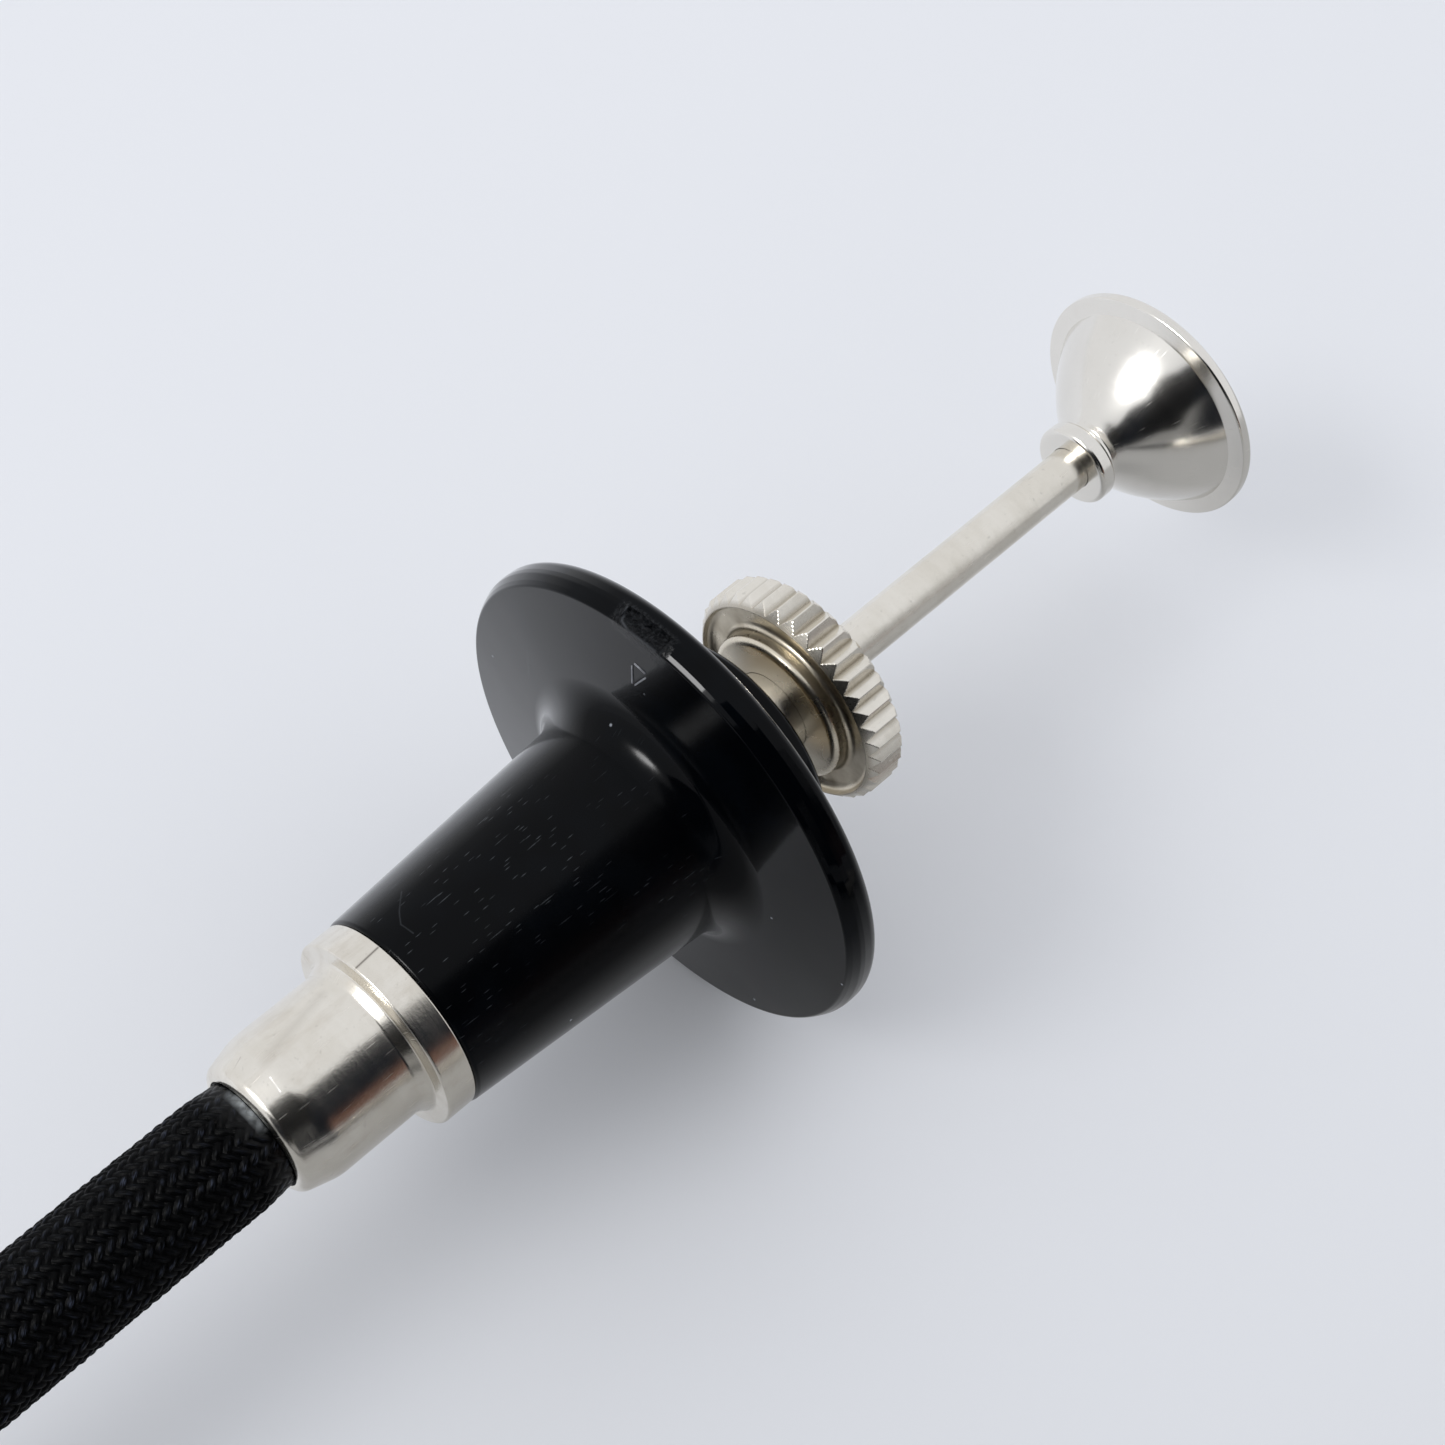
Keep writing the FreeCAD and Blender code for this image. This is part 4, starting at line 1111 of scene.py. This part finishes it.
def make_bushing(finish):
    corners = [
        (WASHER_TOP, CONE_BIG), (WASHER_TOP, BUSHING_RADIUS),
        (BUSHING_TOP, BUSHING_RADIUS, 0.12), (BUSHING_TOP, GUIDE_RADIUS, 0.05),
        (CONE_END, GUIDE_RADIUS), (CONE_END, CONE_SMALL), (CONE_START, CONE_BIG),
    ]
    turned("lock_bushing_shell", corners, HANDLE, "handle", finish, "lock_bushing", "brass")


def make_lock_wheel(finish):
    """Knurled wheel with a hub, a dished underside and a thin skirt."""
    bore = SLEEVE_RADIUS + FIT
    corners = [
        (HUB_START, bore), (HUB_START, HUB_RADIUS, 0.32),
        (DISH_FLOOR, HUB_RADIUS, 0.3), (DISH_FLOOR, DISH_RADIUS, 0.3),
        (SKIRT_START, WHEEL_RADIUS - SKIRT_EDGE - SKIRT_LIP),
        *rim_steps(SKIRT_START, WHEEL_TOP, WHEEL_RADIUS, SKIRT_EDGE, WHEEL_TOP_EDGE, 14),
        (WHEEL_TOP, WHEEL_RADIUS - KNURL_DEPTH * 1.4), (WHEEL_TOP, ROD_HOLE, 0.08),
        (WHEEL_WEB_START, ROD_HOLE), (WHEEL_WEB_START, bore),
    ]
    wheel = turned("lock_wheel_shell", corners, HANDLE, "lock_wheel", finish, "lock_wheel", "nickel",
                   *knurls(WHEEL_RADIUS, KNURL_DEPTH, KNURL_WIDTH, KNURL_COUNT))
    # A knurling tool leaves the faces of the rim flat.
    for face in wheel.data.polygons:
        middle = (face.center - HANDLE) / MM
        if math.hypot(middle.y, middle.z) > WHEEL_RADIUS - KNURL_DEPTH - 0.05:
            face.use_smooth = False


def make_lock_sleeve(finish):
    sole = FOOT_TOP - SLEEVE_FOOT + FOOT_LIFT
    corners = [
        (sole, ROD_HOLE), (sole, SLEEVE_FOOT_RADIUS),
        (FOOT_TOP, SLEEVE_FOOT_RADIUS, 0.05), (FOOT_TOP, SLEEVE_RADIUS),
        (WHEEL_WEB_START, SLEEVE_RADIUS), (WHEEL_WEB_START, ROD_HOLE),
    ]
    turned("lock_sleeve_shell", corners, HANDLE, "lock_wheel", finish, "lock_sleeve", "nickel")


# Plunger

def make_rod(finish):
    corners = [(ROD_FOOT, 0.02), (ROD_FOOT, ROD_RADIUS, 0.1), (ROD_TOP, ROD_RADIUS), (ROD_TOP, 0.02)]
    turned("plunger_rod_shell", corners, HANDLE, "plunger", finish, "plunger_rod", "nickel")


def make_thumb_plate(finish):
    """Collar, neck, bell that swells to the rim, and a dished face."""
    corners = [
        (HEAD_START, ROD_RADIUS + FIT), (HEAD_START, COLLAR_RADIUS, 0.22),
        (HEAD_START + COLLAR_LENGTH, COLLAR_RADIUS, 0.2),
        (NECK_START, NECK_RADIUS, 0.12), (NECK_START + NECK_LENGTH, NECK_RADIUS, 0.08),
        (BELL_START, BELL_START_RADIUS, 0, BELL_BOW), (BELL_END, BELL_END_RADIUS),
        (BELL_END + HEAD_RIM_LIFT, HEAD_RADIUS, 0.1), (HEAD_END, HEAD_RADIUS, HEAD_RIM_ROUND),
        (HEAD_END, HEAD_DISH_RADIUS, 0, -shoulder_bow(HEAD_DISH_RADIUS, HEAD_DISH_DEPTH)),
        (HEAD_END - HEAD_DISH_DEPTH, FACE_HOLE), (ROD_TOP, FACE_HOLE), (ROD_TOP, ROD_RADIUS + FIT),
    ]
    turned("thumb_plate", corners, HANDLE, "plunger", finish, "plunger_head", "nickel_polished")


# Camera fitting

def make_cable_root(name, station, place, finish, node):
    """The end of the cable that a ferrule holds."""
    first, last = station + 0.02, station + CRIMP_DEPTH
    corners = [(first, WIRE_HOLE), (first, CABLE_RADIUS), (last, CABLE_RADIUS), (last, WIRE_HOLE)]
    return turned(name, corners, place, "handle", finish, node, "braid")


def make_tip_ferrule(finish):
    corners = [
        (0, CRIMP_RADIUS),
        (0, TIP_MOUTH_RADIUS, 0, shoulder_bow(TIP_SHOULDER, TIP_RADIUS - TIP_MOUTH_RADIUS)),
        (TIP_SHOULDER, TIP_RADIUS),
        (TIP_LENGTH, TIP_RADIUS, 0.2), (TIP_LENGTH, TIP_BORE_RADIUS),
        (TIP_SEAT, TIP_BORE_RADIUS), (TIP_SEAT, WIRE_HOLE),
        (CRIMP_DEPTH, WIRE_HOLE), (CRIMP_DEPTH, CRIMP_RADIUS),
    ]
    return turned("tip_ferrule_shell", corners, FITTING, "handle", finish, "tip_ferrule", "nickel")


screw_angles, screw_knurls = knurls(SCREW_RADIUS, SCREW_KNURL_DEPTH, SCREW_KNURL_WIDTH, SCREW_KNURLS)


def collar_shape(along, radius, angle):
    """Grip grooves on the collar and a fine thread round the taper."""
    if along < SCREW_END + 1e-6:
        return screw_knurls(along, radius, angle)
    if radius < TAPER_TIP - THREAD_DEPTH or not TAPER_START + 0.05 < along < TAPER_END - 0.02:
        return along, radius, angle
    turn = (along / THREAD_PITCH - angle / (2 * math.pi)) % 1
    ease = min(1, (along - TAPER_START) / THREAD_PITCH, (TAPER_END - along) / (THREAD_PITCH / 2))
    return along, radius - THREAD_DEPTH * ease * abs(2 * turn - 1), angle


def make_tip_collar(finish):
    """Knurled screw collar with its taper and nose."""
    corners = [
        (SCREW_START, RETAINER_RADIUS),
        *rim_steps(SCREW_START, SCREW_END, SCREW_RADIUS, SCREW_EDGE, SCREW_EDGE, 6),
        (SCREW_END, SCREW_FACE_RADIUS),
        *steps_between((TAPER_START, TAPER_ROOT), (TAPER_END, TAPER_TIP), TAPER_RINGS), (TAPER_END, TAPER_TIP),
        (TAPER_END, NOSE_RADIUS), (NOSE_END, NOSE_RADIUS, 0.12), (NOSE_END, PIN_HOLE),
        (CAVITY_END, PIN_HOLE), (CAVITY_END, CAVITY_RADIUS),
        (RETAINER_END, CAVITY_RADIUS), (RETAINER_END, RETAINER_RADIUS),
    ]
    return turned("screw_collar", corners, FITTING, "tip_collar", finish, "tip_collar", "nickel", screw_angles,
                  collar_shape)


def make_release_pin(finish):
    corners = [
        (PIN_START, PIN_SOCKET_RADIUS), (PIN_START, PIN_FLANGE_RADIUS),
        (PIN_FLANGE, PIN_FLANGE_RADIUS), (PIN_FLANGE, PIN_RADIUS),
        (PIN_END, PIN_RADIUS, 0.25), (PIN_END, FACE_HOLE),
        (PIN_SOCKET, FACE_HOLE), (PIN_SOCKET, PIN_SOCKET_RADIUS),
    ]
    return turned("release_pin_shell", corners, FITTING, "release_pin", finish, "release_pin", "steel")


# Put it together

def dress_nodes(finish, names):
    """The CAD's own small pieces keep their shapes and get their finish."""
    for name in names.split():
        nodes[name].data.materials.clear()
        nodes[name].data.materials.append(finish)


make_camera()
cable, cable_line = make_cable(braid_finish("braid", True))

nickel = metal_finish("nickel", NICKEL, NICKEL_DULL, 0.16, 0.5)
ferrule_nickel = metal_finish("ferrule_nickel", NICKEL, NICKEL_DULL, 0.15, 0.45, 5.0, 0.003, marks=ferrule_marks_and_painted_light)
wheel_nickel = metal_finish("wheel_nickel", NICKEL, NICKEL_DULL, 0.18, 0.5, marks=wheel_tone_and_painted_shade)
polished = metal_finish("nickel_polished", (0.79, 0.765, 0.715), (0.66, 0.635, 0.58), 0.13, 0.2, 30.0, 0.0004)
steel = metal_finish("steel", (0.56, 0.55, 0.53), (0.36, 0.34, 0.32), 0.25, 0.35)
brass = metal_finish("brass", (0.62, 0.52, 0.36), (0.36, 0.28, 0.18), 0.24, 0.6)
inner_steel = metal_finish("inner_steel", (0.50, 0.49, 0.47), (0.30, 0.28, 0.26), 0.3, 0.4, 4.0, 0.002, False)
inner_brass = metal_finish("inner_brass", (0.60, 0.50, 0.33), (0.34, 0.26, 0.16), 0.3, 0.5, 4.0, 0.002, False)
inner_nickel = metal_finish("inner_nickel", (0.66, 0.64, 0.60), (0.45, 0.42, 0.37), 0.22, 0.4, 4.0, 0.002, False)
root_braid = braid_finish("braid_root", False)

make_grip(plastic_finish())
make_flange_mark(mark_highlight_finish())
make_ferrule(ferrule_nickel)
make_cable_root("cable_root", FERRULE_START, HANDLE, root_braid, "sheath_root")
tip_root = make_cable_root("tip_cable_root", 0, FITTING, root_braid, "tip_sheath_root")
make_bushing(brass)
make_lock_wheel(wheel_nickel)
make_lock_sleeve(nickel)
make_rod(nickel)
make_thumb_plate(polished)
tip_pieces = [make_tip_ferrule(nickel), make_tip_collar(nickel), make_release_pin(steel), tip_root]
tip_pieces += [nodes[name] for name in ("tip_stem", "pin_spring", "pin_wire", "collar_retainer")]
dress_nodes(inner_steel, "stop_washer return_spring lock_spring lock_balls release_wire pin_spring pin_wire")
dress_nodes(inner_brass, "ball_cage plunger_piston collar_retainer")
dress_nodes(inner_nickel, "tip_stem")
for spring, (joint, fixed_end, pressed_end, travel) in SPRINGS.items():
    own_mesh(nodes[spring])

make_panel("table", (0, 0, 0), (0, 0, 1), FLOOR_SIZE, floor_finish())
card = make_panel("near_card", CARD_PLACE, CARD_TARGET, CARD_SIZE, board_finish(), CARD_CORNER)
card.visible_camera = False
screen = make_screen(screen_finish())
screen.visible_camera = False
screen.visible_diffuse = False
screen.visible_shadow = False
make_lamp("window", WINDOW_DISTANCE, WINDOW_SIZE, WINDOW_POWER)
make_lamp("window_glare", GLARE_DISTANCE, GLARE_SIZE, GLARE_POWER).visible_diffuse = False
world = bpy.data.worlds.new("room")
bpy.context.scene.world = world
world.use_nodes = True
Net(world.node_tree).fill(world.node_tree.nodes["Background"], {"Color": ROOM_TONE, "Strength": ROOM_LIGHT})
bpy.context.scene.view_settings.view_transform = "Standard"
